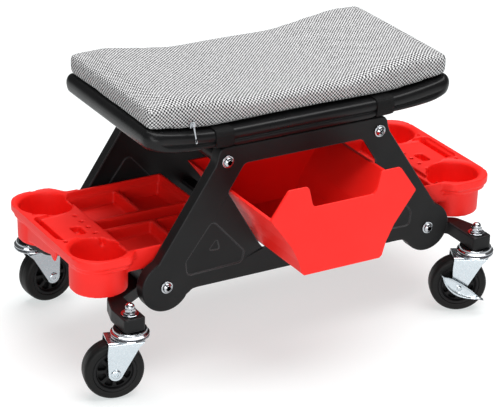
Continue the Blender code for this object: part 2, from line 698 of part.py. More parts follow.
def fork(tag, sx, sy, heading):
    """Pressed fork: race cup, crown with a squared lug, two tapered legs, riveted axle."""
    turn = math.radians(heading)
    place = Matrix.Translation(Vector((sx * CASTER_X, sy * CASTER_Y, 0)) * MM) @ Matrix.Rotation(turn, 4, "Z")
    t = 2.3
    inner = WHEEL_HALF_W + 3.2
    # local frame: +X trails, +Y across the wheel
    obj = lathe("fork_" + tag, [(0, 78.0), (20.0, 78.0), (23.5, 79.6), (24.0, 81.2), (22.0, FORK_TOP),
                                (0, FORK_TOP)], "Z", (0, 0, 0), 20)
    crown = rounded([(-15, -inner - t), (30, -inner - t), (30, inner + t), (-15, inner + t)], 2.0, 2)
    parts = [prism("p", crown, "Z", 76.6, 79.0)]
    for s in (-1, 1):
        leg = [(-15.0, 79.0), (30.0, 79.0), (31.0, 64.0), (TRAIL + 9.0, 37.5)]
        leg += [(TRAIL + 9.0 * math.cos(a), 37.5 + 9.0 * math.sin(a))
                for a in [math.radians(d) for d in (-36, -72, -108, -144)]]
        leg += [(TRAIL - 9.0, 38.5), (-8.0, 70.0)]
        lo, hi = sorted((s * inner, s * (inner + t)))
        parts.append(prism("p", leg, "Y", lo, hi))
    combine(obj, parts, "UNION")
    lo, hi = -inner - t - 1, inner + t + 1
    combine(obj, [prism("c", circle(TRAIL, WHEEL_R, 3.9, 12), "Y", lo, hi)])
    paint(tidy(obj), ZINC)
    obj.matrix_basis = place
    e = inner + t + GAP
    axle_prof = [(0, -e - 2.0), (4.5, -e - 2.0), (6.2, -e - 0.6), (6.2, -e), (3.7, -e), (3.7, e), (6.2, e), (6.2, e + 0.6),
                 (4.5, e + 2.0), (0, e + 2.0)]
    axle = lathe("axle_" + tag, axle_prof, "Y", (TRAIL, 0, WHEEL_R), 12, ZINC)
    axle.matrix_basis = place
    centre = (sx * CASTER_X + TRAIL * math.cos(turn), sy * CASTER_Y + TRAIL * math.sin(turn), WHEEL_R)
    wheel(tag, centre, turn)
    return place


def brake_pedal(place):
    """Leaf-shaped rocker on the outer end of the front right axle, its tips bent up and turned out."""
    face = WHEEL_HALF_W + 3.2 + 2.3 + GAP * 2 + 2.0
    half_l, half_w = 35.5, 6.6
    bm = bmesh.new()
    rings = []
    n = 9
    for k in range(n):
        t = -1 + 2 * k / (n - 1)
        hw = half_w * max(0.0, 1 - (t / 0.8) ** 2) ** 0.9 + 1.7
        out = 7.0 * max(0.0, abs(t) - 0.45) ** 1.3
        bow = 4.5 * t * t
        x = half_l * t + 1.0
        y = face + out
        low, high = bow - 1.2 * hw, bow + 0.8 * hw
        rings.append([(x, y, low), (x, y, high), (x, y + 2.0, high), (x, y + 2.0, low)])
    add_loft(bm, rings)
    obj = finish_mesh("brake_pedal", bm)
    return obj


for tag, (sx, sy, heading) in CASTERS.items():
    place = fork(tag, sx, sy, heading)
    if tag == "fr":
        pedal = brake_pedal(place)
        local = Matrix.Translation(Vector((TRAIL, 0, WHEEL_R)) * MM) @ Matrix.Rotation(math.radians(-33), 4, "Y")
        paint(pedal, ZINC)
        pedal.matrix_basis = place @ local


# ------------------------------------------------------------------ zip pull
def zip_parts():
    """Slider on the seam of the cushion and its pull, hanging from the slider's upper edge."""
    x, y = -158.0, -CUSHION_W - 0.8
    z = 322.0 + dish(x)
    box("zip_slider", (x - 4, y - 4.4, z - 3.5), (x + 4, y, z + 3.5), CHROME)
    pull_y = y - 4.4 - GAP
    pts = rounded([(x - 2.6, z - 24), (x + 2.6, z - 24), (x + 2.6, z - 2), (x - 2.6, z - 2)], 1.8, 2)
    pivot(prism("zip_pull", pts, "Y", pull_y - 1.5, pull_y, CHROME), x, pull_y, z - 2)


zip_parts()
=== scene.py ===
"""Looks for the rolling creeper seat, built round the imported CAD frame.

Shapes are drawn in millimetres about the centre between the side plates and set off by ORIGIN.
"""
import math

import bmesh
import bpy
from mathutils import Matrix, Vector


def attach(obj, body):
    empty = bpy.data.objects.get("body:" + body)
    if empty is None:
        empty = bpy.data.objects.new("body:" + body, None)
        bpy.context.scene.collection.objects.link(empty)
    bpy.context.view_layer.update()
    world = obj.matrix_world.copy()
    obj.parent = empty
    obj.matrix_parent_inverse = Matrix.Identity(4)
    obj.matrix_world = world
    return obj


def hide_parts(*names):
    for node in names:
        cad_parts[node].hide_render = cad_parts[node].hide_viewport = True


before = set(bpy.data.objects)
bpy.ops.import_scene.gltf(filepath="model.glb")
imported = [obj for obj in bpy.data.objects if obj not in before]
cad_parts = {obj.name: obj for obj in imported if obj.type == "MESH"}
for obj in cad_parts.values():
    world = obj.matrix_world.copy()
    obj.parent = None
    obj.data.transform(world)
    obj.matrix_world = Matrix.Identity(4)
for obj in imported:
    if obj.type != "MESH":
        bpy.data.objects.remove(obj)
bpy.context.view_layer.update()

MM = 0.001
ORIGIN = Vector((5.1, 23.75, 0.0)) * MM
SCENE = bpy.context.scene
GAP = 0.3

# sizes shared with the CAD bodies, in millimetres
WHEEL_R, WHEEL_HALF_W, TRAIL = 37.5, 12.0, 21.0
FORK_IN = WHEEL_HALF_W + 3.2
FORK_OUT = FORK_IN + 2.3
CASTER_X, CASTER_Y, FORK_TOP = 253.0, 139.0, 82.5
# hand, depth and heading in degrees of each caster
CASTERS = {"fl": (-1, -1, 166.0), "fr": (1, -1, 155.0), "bl": (-1, 1, 5.0), "br": (1, 1, 200.0)}
BEAM_Z = (90.0, 107.6)
BEAM_OUTER = [(267.0, -154.5), (267.0, -116.0), (258.0, -86.0), (214.0, -58.0)]
BEAM_INNER = [(239.0, -154.5), (239.0, -94.0), (182.0, -58.0)]
LOWER_X, LOWER_Z, UPPER_X, UPPER_Z = 191.0, 119.0, 109.0, 269.3
PLATE_Y, SHEET, FLANGE, PLATE_TOP, LOBE_R = 115.3, 2.5, 16.0, 287.4, 33.0
BASE_L, BASE_W, BASE_Z = 218.5, 118.0, (290.0, 311.0)
CUSHION_L, CUSHION_W, CUSHION_Z = 218.0, 113.0, (313.2, 341.0)
DISH_X0, DISH_X1, DISH_H, PAD_X = 108.0, 214.0, 13.0, 99.0
STRAP_X, STRAP_W, STRAP_T = 114.5, 25.0, 1.5
BIN_Y, BIN_WALL = (-210.5, -4.0), 3.0
TRAY_RIM, LIP_BOTTOM, BAND_BOTTOM, TRAY_END = 168.0, 157.0, 150.5, 301.0
CUP_X, CUP_R = 259.5, 36.5
CUPS = [(-68.0, 116.0), (82.0, 121.0)]  # place along the tray and underside
TONGUE_BOTTOM, DECK, RIB_TOP = 139.0, 163.0, 158.0
# x from, x to, y from, y to
COMPARTMENTS = [(156.5, 224.0, 24.0, 93.0), (92.0, 152.5, 24.0, 93.0), (92.0, 224.0, -6.0, 20.5),
                (156.5, 222.0, -93.0, -9.5), (92.0, 152.5, -93.0, -9.5)]


# ---------------- camera
SENSOR_W = 36.0
LENS = SENSOR_W * 2200.5 / 497.0
EYE = (-1.3232, -2.2303, 1.3119)
AIM = (-0.01048, 0.0, 0.14735)
TILT = 0.02527


def make_camera():
    cam = bpy.data.cameras.new("camera")
    cam.sensor_width = SENSOR_W
    cam.lens = LENS
    cam.clip_start, cam.clip_end = 0.1, 40.0
    obj = bpy.data.objects.new("camera", cam)
    SCENE.collection.objects.link(obj)
    eye, aim = Vector(EYE) + ORIGIN, Vector(AIM) + ORIGIN
    turn = (aim - eye).to_track_quat("-Z", "Y").to_matrix() @ Matrix.Rotation(TILT, 3, "Z")
    obj.location = eye
    obj.rotation_euler = turn.to_euler()
    SCENE.camera = obj


make_camera()


# ---------------- materials
SPREAD = (0.3, 0.7)  # where most values of a noise lie


class Look:
    """Small wrapper for building a Principled material out of nodes; lengths are in metres."""

    def __init__(self, name, metallic=0.0, ior=1.5, specular=0.5):
        self.mat = bpy.data.materials.new(name)
        self.mat.use_nodes = True
        self.tree = self.mat.node_tree
        self.bsdf = self.tree.nodes["Principled BSDF"]
        self.bsdf.inputs["Metallic"].default_value = metallic
        self.bsdf.inputs["IOR"].default_value = ior
        self.bsdf.inputs["Specular IOR Level"].default_value = specular
        self.coord = self.tree.nodes.new("ShaderNodeTexCoord")
        self.height = []

    def put(self, socket, value):
        """Link an output, or set a plain value on the socket."""
        if hasattr(value, "is_output"):
            self.tree.links.new(value, socket)
        else:
            socket.default_value = value

    def calc(self, op, a, b=0.0):
        n = self.tree.nodes.new("ShaderNodeMath")
        n.operation = op
        for s, v in zip(n.inputs, (a, b)):
            self.put(s, v)
        return n.outputs[0]

    def scaled(self, sx, sy, sz, turn=(0, 0, 0)):
        """Object coordinates stretched by axis, for drawn-out noise."""
        n = self.tree.nodes.new("ShaderNodeMapping")
        self.put(n.inputs["Vector"], self.coord.outputs["Object"])
        n.inputs["Scale"].default_value = (sx, sy, sz)
        n.inputs["Rotation"].default_value = turn
        return n.outputs[0]

    def noise(self, scale, detail=2.0, rough=0.5, vector=None):
        n = self.tree.nodes.new("ShaderNodeTexNoise")
        self.put(n.inputs["Vector"], vector if vector is not None else self.coord.outputs["Object"])
        n.inputs["Scale"].default_value = scale
        n.inputs["Detail"].default_value = detail
        n.inputs["Roughness"].default_value = rough
        return n.outputs["Fac"]

    def fit(self, value, a0, a1, b0, b1):
        n = self.tree.nodes.new("ShaderNodeMapRange")
        for i, v in enumerate((value, a0, a1, b0, b1)):
            self.put(n.inputs[i], v)
        return n.outputs[0]

    def mix(self, factor, a, b):
        n = self.tree.nodes.new("ShaderNodeMix")
        n.data_type = "RGBA"
        self.put(n.inputs[0], factor)
        for s, v in ((n.inputs[6], a), (n.inputs[7], b)):
            self.put(s, v if hasattr(v, "is_output") else (*v, 1.0))
        return n.outputs[2]

    def tint(self, value, low, high, a, b):
        """Colour a where value is at most low, b where it is at least high."""
        return self.mix(self.fit(value, low, high, 0.0, 1.0), a, b)

    def split(self, vector):
        n = self.tree.nodes.new("ShaderNodeSeparateXYZ")
        self.put(n.inputs[0], vector)
        return n.outputs

    def bump(self, height, distance, strength):
        """Lay one more relief over those already there."""
        n = self.tree.nodes.new("ShaderNodeBump")
        n.inputs["Strength"].default_value = strength
        n.inputs["Distance"].default_value = distance
        self.put(n.inputs["Height"], height)
        if self.height:
            self.put(n.inputs["Normal"], self.height[-1])
        self.height.append(n.outputs[0])
        self.put(self.bsdf.inputs["Normal"], n.outputs[0])

    def edge(self, radius, low, high):
        """One where the surface turns within the radius, nought on the flat."""
        soft = self.tree.nodes.new("ShaderNodeBevel")
        soft.samples = 6
        soft.inputs["Radius"].default_value = radius
        flat = self.tree.nodes.new("ShaderNodeNewGeometry")
        dot = self.tree.nodes.new("ShaderNodeVectorMath")
        dot.operation = "DOT_PRODUCT"
        self.put(dot.inputs[0], soft.outputs[0])
        self.put(dot.inputs[1], flat.outputs["Normal"])
        return self.fit(self.calc("SUBTRACT", 1.0, dot.outputs["Value"]), low, high, 0.0, 1.0)

    def color(self, value):
        self.put(self.bsdf.inputs["Base Color"], value if hasattr(value, "is_output") else (*value, 1.0))

    def rough(self, value):
        self.put(self.bsdf.inputs["Roughness"], value)

    def uneven(self, value, low, high):
        """Roughness that follows a noise between two levels."""
        self.rough(self.fit(value, *SPREAD, low, high))


def black_paint():
    """Powder coat: fine orange peel, slightly uneven gloss, and a painted highlight that makes the edges
    paler.
    """
    k = Look("black_powder_coat", specular=0.17)
    coat = k.tint(k.noise(9.0, 3.0), 0.35, 0.7, (0.0060, 0.0060, 0.0064), (0.0100, 0.0100, 0.0104))
    # painted highlight: the colour turns paler where the surface rounds over an edge
    edge_highlight = k.calc("MULTIPLY", k.edge(0.0024, 0.012, 0.12), 0.8)
    k.color(k.mix(edge_highlight, coat, (0.080, 0.080, 0.083)))
    k.uneven(k.noise(45.0, 3.0), 0.34, 0.46)
    k.bump(k.noise(1100.0, 2.0), 0.00013, 0.6)
    k.bump(k.noise(260.0, 2.0), 0.0002, 0.25)
    return k.mat


def black_mould():
    """Satin moulding of the seat base."""
    k = Look("satin_black_moulding", specular=0.19)
    k.color(k.tint(k.noise(7.0, 3.0), 0.35, 0.7, (0.0050, 0.0050, 0.0054), (0.0085, 0.0085, 0.009)))
    k.uneven(k.noise(30.0, 3.0), 0.26, 0.34)
    k.bump(k.noise(1500.0, 2.0), 0.0001, 0.5)
    return k.mat


def red_mould():
    """Injection moulded red plastic with a fine grain and faint handling marks."""
    k = Look("red_moulding", ior=1.46, specular=0.32)
    cloud = k.noise(6.0, 3.0)
    marks = k.noise(1.0, 4.0, 0.6, k.scaled(420.0, 35.0, 60.0, (0, 0, 0.7)))
    tone = k.tint(cloud, *SPREAD, (0.85, 0.0120, 0.0075), (0.92, 0.0165, 0.0110))
    k.color(k.mix(k.fit(marks, 0.62, 0.8, 0.0, 0.08), tone, (0.97, 0.08, 0.06)))
    k.uneven(k.noise(25.0, 4.0), 0.44, 0.56)
    k.bump(k.noise(1700.0, 2.0), 0.00008, 0.45)
    return k.mat


def zinc():
    """Bright zinc plate with a cool cast, faint rolled streaks and fine spangle."""
    k = Look("bright_zinc", metallic=1.0)
    streak = k.noise(1.0, 3.0, 0.6, k.scaled(60.0, 60.0, 900.0))
    spangle = k.noise(300.0, 3.0)
    k.color(k.tint(spangle, 0.35, 0.65, (0.545, 0.60, 0.64), (0.585, 0.635, 0.67)))
    k.rough(k.fit(k.calc("ADD", streak, k.calc("MULTIPLY", spangle, 0.6)), 0.6, 1.1, 0.22, 0.32))
    k.bump(streak, 0.000012, 0.2)
    return k.mat


def chrome(name, low, high):
    """Polished plate with a faint haze; low and high are its roughness."""
    k = Look(name, metallic=1.0)
    haze = k.noise(90.0, 3.0)
    k.color(k.tint(haze, 0.35, 0.7, (0.50, 0.515, 0.54), (0.40, 0.415, 0.44)))
    k.uneven(haze, low, high)
    k.bump(k.noise(700.0, 2.0), 0.00002, 0.3)
    return k.mat


def rubber():
    """Tyre rubber with a little dust in patches."""
    k = Look("tyre_rubber", specular=0.17)
    dust = k.noise(38.0, 5.0, 0.65)
    k.color(k.tint(dust, 0.42, 0.75, (0.0050, 0.0050, 0.0050), (0.0095, 0.0092, 0.0090)))
    k.uneven(k.noise(70.0, 3.0), 0.42, 0.55)
    k.bump(k.noise(900.0, 3.0), 0.00010, 0.5)
    return k.mat


def hub_mould():
    """Black moulding of the wheel hubs."""
    k = Look("hub_moulding", specular=0.18)
    cloud = k.noise(40.0, 3.0)
    k.color(k.tint(cloud, 0.35, 0.7, (0.004, 0.004, 0.0045), (0.008, 0.008, 0.0085)))
    k.uneven(cloud, 0.38, 0.50)
    k.bump(k.noise(1300.0, 2.0), 0.0001, 0.5)
    return k.mat


def planar_uv(k, cell):
    """Two coordinates in thread counts on whichever flat direction the surface faces."""
    pos = k.split(k.coord.outputs["Object"])
    nx, ny, nz = [k.calc("ABSOLUTE", axis) for axis in k.split(k.coord.outputs["Normal"])]
    top = k.calc("GREATER_THAN", nz, 0.66)
    side = k.calc("SUBTRACT", 1.0, top)
    end = k.calc("MULTIPLY", side, k.calc("GREATER_THAN", nx, ny))
    not_end = k.calc("SUBTRACT", 1.0, end)
    u = k.calc("ADD", k.calc("MULTIPLY", pos[0], not_end), k.calc("MULTIPLY", pos[1], end))
    v = k.calc("ADD", k.calc("MULTIPLY", pos[1], top), k.calc("MULTIPLY", pos[2], side))
    return k.calc("DIVIDE", u, cell), k.calc("DIVIDE", v, cell)


THREAD = 0.00235


def basket_weave():
    """Plain weave of pale warp and dark weft, uneven yarn, with painted shade in the gaps between the yarns.
    """
    k = Look("grey_basket_weave", ior=1.4, specular=0.2)
    u, v = planar_uv(k, THREAD)
    wobble = k.calc("MULTIPLY", k.calc("SUBTRACT", k.noise(45.0, 2.0), 0.5), 0.35)
    u, v = k.calc("ADD", u, wobble), k.calc("SUBTRACT", v, wobble)
    parts = [k.calc("FRACT", u), k.calc("FRACT", v)]
    parity = k.calc("MODULO", k.calc("ADD", k.calc("FLOOR", u), k.calc("FLOOR", v)), 2.0)
    over = k.calc("GREATER_THAN", k.calc("ABSOLUTE", parity), 0.5)
    arch = [k.calc("SINE", k.calc("MULTIPLY", part, math.pi)) for part in parts]
    dome = k.calc("MULTIPLY", *arch)
    slub = k.noise(420.0, 2.0, 0.6)
    warp = k.noise(1.0, 2.0, 0.5, k.scaled(900.0, 120.0, 900.0))
    weft = k.noise(1.0, 2.0, 0.5, k.scaled(120.0, 900.0, 120.0))
    pale = k.tint(warp, *SPREAD, (0.60, 0.60, 0.605), (0.78, 0.78, 0.785))
    dark = k.tint(weft, *SPREAD, (0.006, 0.006, 0.007), (0.035, 0.035, 0.037))
    woven = k.mix(k.calc("MULTIPLY", over, k.fit(slub, 0.28, 0.48, 0.55, 1.0)), pale, dark)
    # painted shade: the colour darkens towards the gaps between the yarns
    pit_shade = k.fit(dome, 0.0, 0.30, 0.45, 0.0)
    k.color(k.mix(pit_shade, woven, (0.05, 0.05, 0.053)))
    k.uneven(warp, 0.82, 0.95)
    k.bump(dome, 0.0007, 0.8)
    k.bump(k.noise(2600.0, 2.0), 0.0001, 0.4)
    return k.mat


RIB_PITCH, BAND_PITCH = 0.0016, 0.0011


def webbing():
    """Black polypropylene webbing: cross ribs with fine lengthwise bands, with painted shade in the grooves
    between them.
    """
    k = Look("black_webbing", specular=0.15)
    pos = k.split(k.coord.outputs["Object"])
    run = k.calc("ADD", pos[1], pos[2])
    rib = k.calc("ABSOLUTE", k.calc("SINE", k.calc("MULTIPLY", run, math.pi / RIB_PITCH)))
    band = k.calc("ABSOLUTE", k.calc("SINE", k.calc("MULTIPLY", pos[0], math.pi / BAND_PITCH)))
    relief = k.calc("ADD", k.calc("MULTIPLY", rib, 0.7), k.calc("MULTIPLY", band, 0.3))
    # painted shade: the colour is darker in the grooves between the ribs and bands, lighter on their crests
    k.color(k.mix(relief, (0.002, 0.002, 0.0022), (0.0065, 0.0065, 0.0068)))
    k.uneven(k.noise(600.0, 2.0), 0.55, 0.75)
    k.bump(relief, 0.0004, 0.7)
    return k.mat


def dark_seal():
    """Grimy seal in the swivel's gap."""
    k = Look("bearing_seal")
    grime = k.noise(120.0, 3.0)
    k.color(k.mix(grime, (0.010, 0.010, 0.010), (0.03, 0.028, 0.026)))
    k.uneven(grime, 0.5, 0.7)
    k.bump(k.noise(800.0, 2.0), 0.0001, 0.4)
    return k.mat


PAINT, MOULD, RED, ZINC = black_paint(), black_mould(), red_mould(), zinc()
CHROME = chrome("polished_plate", 0.06, 0.16)
RUBBER, HUB, CLOTH, WEB, SEAL = rubber(), hub_mould(), basket_weave(), webbing(), dark_seal()
NUT = chrome("bright_nut_plate", 0.10, 0.22)


# ---------------- mesh helpers
def to3(axis, u, v, w):
    """Point at (u, v) across an axis and w along it."""
    return {"X": (w, u, v), "Y": (u, w, v), "Z": (u, v, w)}[axis]


def add_prism(bm, outline, axis, lo, hi):
    a = [bm.verts.new(to3(axis, u, v, lo)) for u, v in outline]
    b = [bm.verts.new(to3(axis, u, v, hi)) for u, v in outline]
    bm.faces.new(a)
    bm.faces.new(b)
    for i in range(len(outline)):
        j = (i + 1) % len(outline)
        bm.faces.new((a[i], a[j], b[j], b[i]))


def add_rows(bm, rows, closed_ends=True, ring=False):
    """Skin rows of equal point count; ring joins the last row to the first."""
    rows = [[bm.verts.new(p) for p in row] for row in rows]
    n = len(rows[0])
    if closed_ends and not ring:
        bm.faces.new(rows[0])
        bm.faces.new(rows[-1])
    for a, b in (zip(rows, rows[1:] + rows[:1]) if ring else zip(rows, rows[1:])):
        for i in range(n):
            j = (i + 1) % n
            bm.faces.new((a[i], a[j], b[j], b[i]))
    return rows


def circle(cx, cy, r, n=24):
    return [(cx + r * math.cos(2 * math.pi * i / n), cy + r * math.sin(2 * math.pi * i / n)) for i in range(n)]


def arc(cx, cy, r, a0, a1, n):
    return [(cx + r * math.cos(math.radians(a0 + (a1 - a0) * i / n)),
             cy + r * math.sin(math.radians(a0 + (a1 - a0) * i / n))) for i in range(n + 1)]


def sweep(cx, cy, rx, ry, degrees):
    """Points of an ellipse at the listed degrees."""
    return [(cx + rx * math.cos(math.radians(d)), cy + ry * math.sin(math.radians(d))) for d in degrees]


def rect(u0, v0, u1, v1):
    return [(u0, v0), (u1, v0), (u1, v1), (u0, v1)]


def rounded(points, radii, segs=6):
    """Fillet the corners of a closed 2-D outline."""
    n = len(points)
    if not isinstance(radii, (list, tuple)):
        radii = [radii] * n
    out = []
    for i in range(n):
        p = Vector(points[i])
        a, b = Vector(points[i - 1]) - p, Vector(points[(i + 1) % n]) - p
        la, lb = a.length, b.length
        a.normalize()
        b.normalize()
        half = math.acos(max(-1, min(1, a.dot(b)))) / 2
        if radii[i] <= 0 or abs(half - math.pi / 2) < 1e-3:
            out.append(tuple(p))
            continue
        cut = min(radii[i] / math.tan(half), 0.49 * la, 0.49 * lb)
        r = cut * math.tan(half)
        centre = p + (a + b).normalized() * (r / math.sin(half))
        start, end = p + a * cut - centre, p + b * cut - centre
        a0 = math.atan2(start.y, start.x)
        turn = (math.atan2(end.y, end.x) - a0 + math.pi) % (2 * math.pi) - math.pi
        for k in range(segs + 1):
            t = a0 + turn * k / segs
            out.append((centre.x + r * math.cos(t), centre.y + r * math.sin(t)))
    return out


def offset(points, d):
    """Move every side of a closed outline inwards by d."""
    n = len(points)
    area = sum(points[i][0] * points[(i + 1) % n][1] - points[(i + 1) % n][0] * points[i][1]
               for i in range(n))
    s = 1 if area > 0 else -1
    out = []
    for i in range(n):
        p0, p1, p2 = Vector(points[i - 1]), Vector(points[i]), Vector(points[(i + 1) % n])
        e0, e1 = (p1 - p0).normalized(), (p2 - p1).normalized()
        m = Vector((-e0.y - e1.y, e0.x + e1.x)) * s
        m = m / max(0.3, 1 + e0.dot(e1))
        out.append((p1.x + m.x * d, p1.y + m.y * d))
    return out


def mirror_x(points):
    return [(-u, v) for u, v in reversed(points)]


def raw(name, bm):
    """Object in metres out of a mesh drawn in millimetres."""
    bmesh.ops.remove_doubles(bm, verts=bm.verts, dist=0.01)
    bmesh.ops.recalc_face_normals(bm, faces=bm.faces)
    bmesh.ops.scale(bm, vec=(MM, MM, MM), verts=bm.verts)
    mesh = bpy.data.meshes.new(name)
    bm.to_mesh(mesh)
    bm.free()
    obj = bpy.data.objects.new(name, mesh)
    SCENE.collection.objects.link(obj)
    return obj


def prism(name, outline, axis, lo, hi):
    bm = bmesh.new()
    add_prism(bm, outline, axis, lo, hi)
    return raw(name, bm)


def box(name, lo, hi):
    return prism(name, rect(lo[0], lo[1], hi[0], hi[1]), "Z", lo[2], hi[2])


def add_lathe(bm, profile, axis, n):
    """Turn a closed profile of (radius, height) about an axis; points on the axis are shared."""
    cols = []
    for k in range(n):
        a = 2 * math.pi * k / n
        col = []
        for r, h in profile:
            if abs(r) < 1e-6 and k:
                col.append(cols[0][len(col)])
                continue
            col.append(bm.verts.new(to3(axis, r * math.cos(a), r * math.sin(a), h)))
        cols.append(col)
    m = len(profile)
    for k in range(n):
        a, b = cols[k], cols[(k + 1) % n]
        for i in range(m):
            j = (i + 1) % m
            quad = []
            for vert in (a[i], a[j], b[j], b[i]):
                if vert not in quad:
                    quad.append(vert)
            if len(quad) >= 3:
                bm.faces.new(quad)


def lathe(name, profile, axis="Z", n=64):
    bm = bmesh.new()
    add_lathe(bm, profile, axis, n)
    return raw(name, bm)


def bake_modifiers(obj):
    graph = bpy.context.evaluated_depsgraph_get()
    graph.update()
    mesh = bpy.data.meshes.new_from_object(obj.evaluated_get(graph))
    obj.modifiers.clear()
    obj.data = mesh


def combine(target, tools, operation="DIFFERENCE"):
    """Boolean of the target with each tool in turn; the tools are used up."""
    for tool in tools:
        mod = target.modifiers.new("cut", "BOOLEAN")
        mod.solver, mod.operation, mod.object = "EXACT", operation, tool
        bake_modifiers(target)
        bpy.data.objects.remove(tool, do_unlink=True)


def refine(obj):
    sub = obj.modifiers.new("fine", "SUBSURF")
    sub.levels = sub.render_levels = 1


def dress(obj, mat, body, nodes=(), place=None, bevel=0.0, segs=2, angle=35.0, clean=True, slot=None):
    """Tidy the mesh, round its edges, give it its material and seat it on its CAD body."""
    bm = bmesh.new()
    bm.from_mesh(obj.data)
    if clean:
        bmesh.ops.remove_doubles(bm, verts=bm.verts, dist=0.00002)
        bmesh.ops.dissolve_limit(bm, angle_limit=math.radians(0.4), verts=bm.verts, edges=bm.edges)
    bmesh.ops.recalc_face_normals(bm, faces=bm.faces)
    for f in bm.faces:
        f.smooth = True
    for e in bm.edges:
        e.smooth = not (len(e.link_faces) == 2 and e.calc_face_angle(0.0) > math.radians(angle))
    bm.to_mesh(obj.data)
    bm.free()
    obj.data.materials.clear()
    obj.data.materials.append(mat)
    if bevel:
        mod = obj.modifiers.new("round", "BEVEL")
        mod.width, mod.segments, mod.limit_method = bevel * MM, segs, "ANGLE"
        mod.angle_limit = math.radians(angle)
        mod.harden_normals, mod.miter_outer = True, "MITER_ARC"
    obj.matrix_world = Matrix.Translation(ORIGIN) @ (place or Matrix.Identity(4))
    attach(obj, body)
    nodes = [nodes] if isinstance(nodes, str) else list(nodes)
    if nodes:
        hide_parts(*nodes)
    return obj


def placed(x, y, z):
    """Shift in millimetres."""
    return Matrix.Translation(Vector((x, y, z)) * MM)


def tilted(degrees, axis):
    return Matrix.Rotation(math.radians(degrees), 4, axis)


def copy_of(obj, name):
    new = bpy.data.objects.new(name, obj.data.copy())
    SCENE.collection.objects.link(new)
    return new


# ---------------- side plates
# window in the front plate, and the pressed triangles with the smaller one inside each
WINDOW = [(84.5, 262.5), (107.0, 227.5), (60.3, 148.6), (56.0, 143.6),
          (-56.0, 143.6), (-60.3, 148.6), (-107.0, 227.5), (-84.5, 262.5)]
WINDOW_RADII = [9, 5, 4, 4, 4, 4, 5, 9]
EMBOSS = [(127.8, 197.0), (166.0, 147.0), (164.0, 126.0), (85.0, 128.5), (80.8, 145.1)]
EMBOSS_IN = [(120.3, 170.0), (134.0, 154.0), (116.5, 153.5)]


def plate_outline():
    right = [(112.0, PLATE_TOP), (117.5, 285.6), (121.0, 281.0), (123.0, 272.0), (125.4, 265.5),
             (201.8, 150.6)]
    right += arc(LOWER_X, LOWER_Z, LOBE_R, 64.0, -150.0, 44)
    right += [(158.5, 105.0), (156.0, 107.2), (153.5, 108.2), (147.0, 108.8)]
    return right + mirror_x(right)


def pressing(outline, side, y_from, y_to, inset_from, inset_to):
    """Sloped plug between two depths of the sheet."""
    a, b = offset(outline, inset_from), offset(outline, inset_from + inset_to)
    bm = bmesh.new()
    add_rows(bm, [[(u, side * y_from, v) for u, v in a], [(u, side * y_to, v) for u, v in b]])
    bmesh.ops.recalc_face_normals(bm, faces=bm.faces)
    return raw("pressing", bm)


def near_outline(p, ring, tol):
    """Whether a point lies within tol of a closed outline."""
    for i in range(len(ring)):
        a, b = Vector(ring[i]), Vector(ring[(i + 1) % len(ring)])
        t = max(0.0, min(1.0, (p - a).dot(b - a) / max(1e-9, (b - a).length_squared)))
        if (a + (b - a) * t - p).length < tol:
            return True
    return False


def side_plate(name, side, window):
    """Sheet with a turned-in flange, cut away low in the middle, and four screw holes."""
    outline = plate_outline()
    y_out, y_in = side * PLATE_Y, side * (PLATE_Y - FLANGE)
    obj = prism(name + "_look", outline, "Y", min(y_out, y_in), max(y_out, y_in))
    ya, yb = sorted((side * (PLATE_Y - SHEET), side * (PLATE_Y - FLANGE - 10)))
    tools = [prism("t", offset(outline, SHEET), "Y", ya, yb), box("t", (-150, ya, 92), (150, yb, 122))]
    y0, y1 = sorted((side * (PLATE_Y - SHEET - 1), side * (PLATE_Y + 1)))
    if window:
        tools.append(prism("t", rounded(WINDOW, WINDOW_RADII, 8), "Y", y0, y1))
    for sx in (-1, 1):
        for hx, hz in ((UPPER_X, UPPER_Z), (LOWER_X, LOWER_Z)):
            tools.append(prism("t", circle(sx * hx, hz, 3.4, 20), "Y", y0, y1))
    combine(obj, tools)
    for sx in (-1, 1):
        tri = rounded([(sx * u, v) for u, v in EMBOSS], 8.0, 7)
        small = rounded([(sx * u, v) for u, v in EMBOSS_IN], 2.5, 6)
        combine(obj, [pressing(tri, side, PLATE_Y - SHEET + 1.0, PLATE_Y - SHEET - 1.3, 0.0, 1.0)], "UNION")
        combine(obj, [pressing(tri, side, PLATE_Y + 1.0, PLATE_Y - 1.3, 0.6, 1.4),
                      pressing(small, side, PLATE_Y + 1.0, PLATE_Y - 2.2, 0.0, 0.7)])
    dress(obj, PAINT, "frame", name, angle=28, clean=False)
    bm = bmesh.new()
    bm.from_mesh(obj.data)
    bmesh.ops.triangulate(bm, faces=[f for f in bm.faces if len(f.verts) > 4])
    bm.to_mesh(obj.data)
    bm.free()
    # the bend is rolled wide, the cut edges a little, the pressed lines not at all
    weight = obj.data.attributes.new("bevel_weight_edge", "FLOAT", "EDGE")
    for e in obj.data.edges:
        if not e.use_edge_sharp:
            continue
        mid = (obj.data.vertices[e.vertices[0]].co + obj.data.vertices[e.vertices[1]].co) / 2 / MM
        fold = abs(abs(mid.y) - PLATE_Y) < 0.05 and near_outline(Vector((mid.x, mid.z)), outline, 0.3)
        spot = Vector((abs(mid.x), mid.z))
        pressed = near_outline(spot, EMBOSS, 6.0) or near_outline(spot, EMBOSS_IN, 4.0)
        weight.data[e.index].value = 1.0 if fold else 0.0 if pressed else 0.35
    mod = obj.modifiers.new("round", "BEVEL")
    mod.width, mod.segments, mod.limit_method = 2.2 * MM, 4, "WEIGHT"
    mod.harden_normals, mod.miter_outer = True, "MITER_ARC"


side_plate("side_plate_front", -1, True)
side_plate("side_plate_back", 1, False)


# ---------------- cross members, rails, beams
def painted(node, outline, axis, lo, hi, **edges):
    dress(prism(node + "_look", outline, axis, lo, hi), PAINT, "frame", node, **edges)


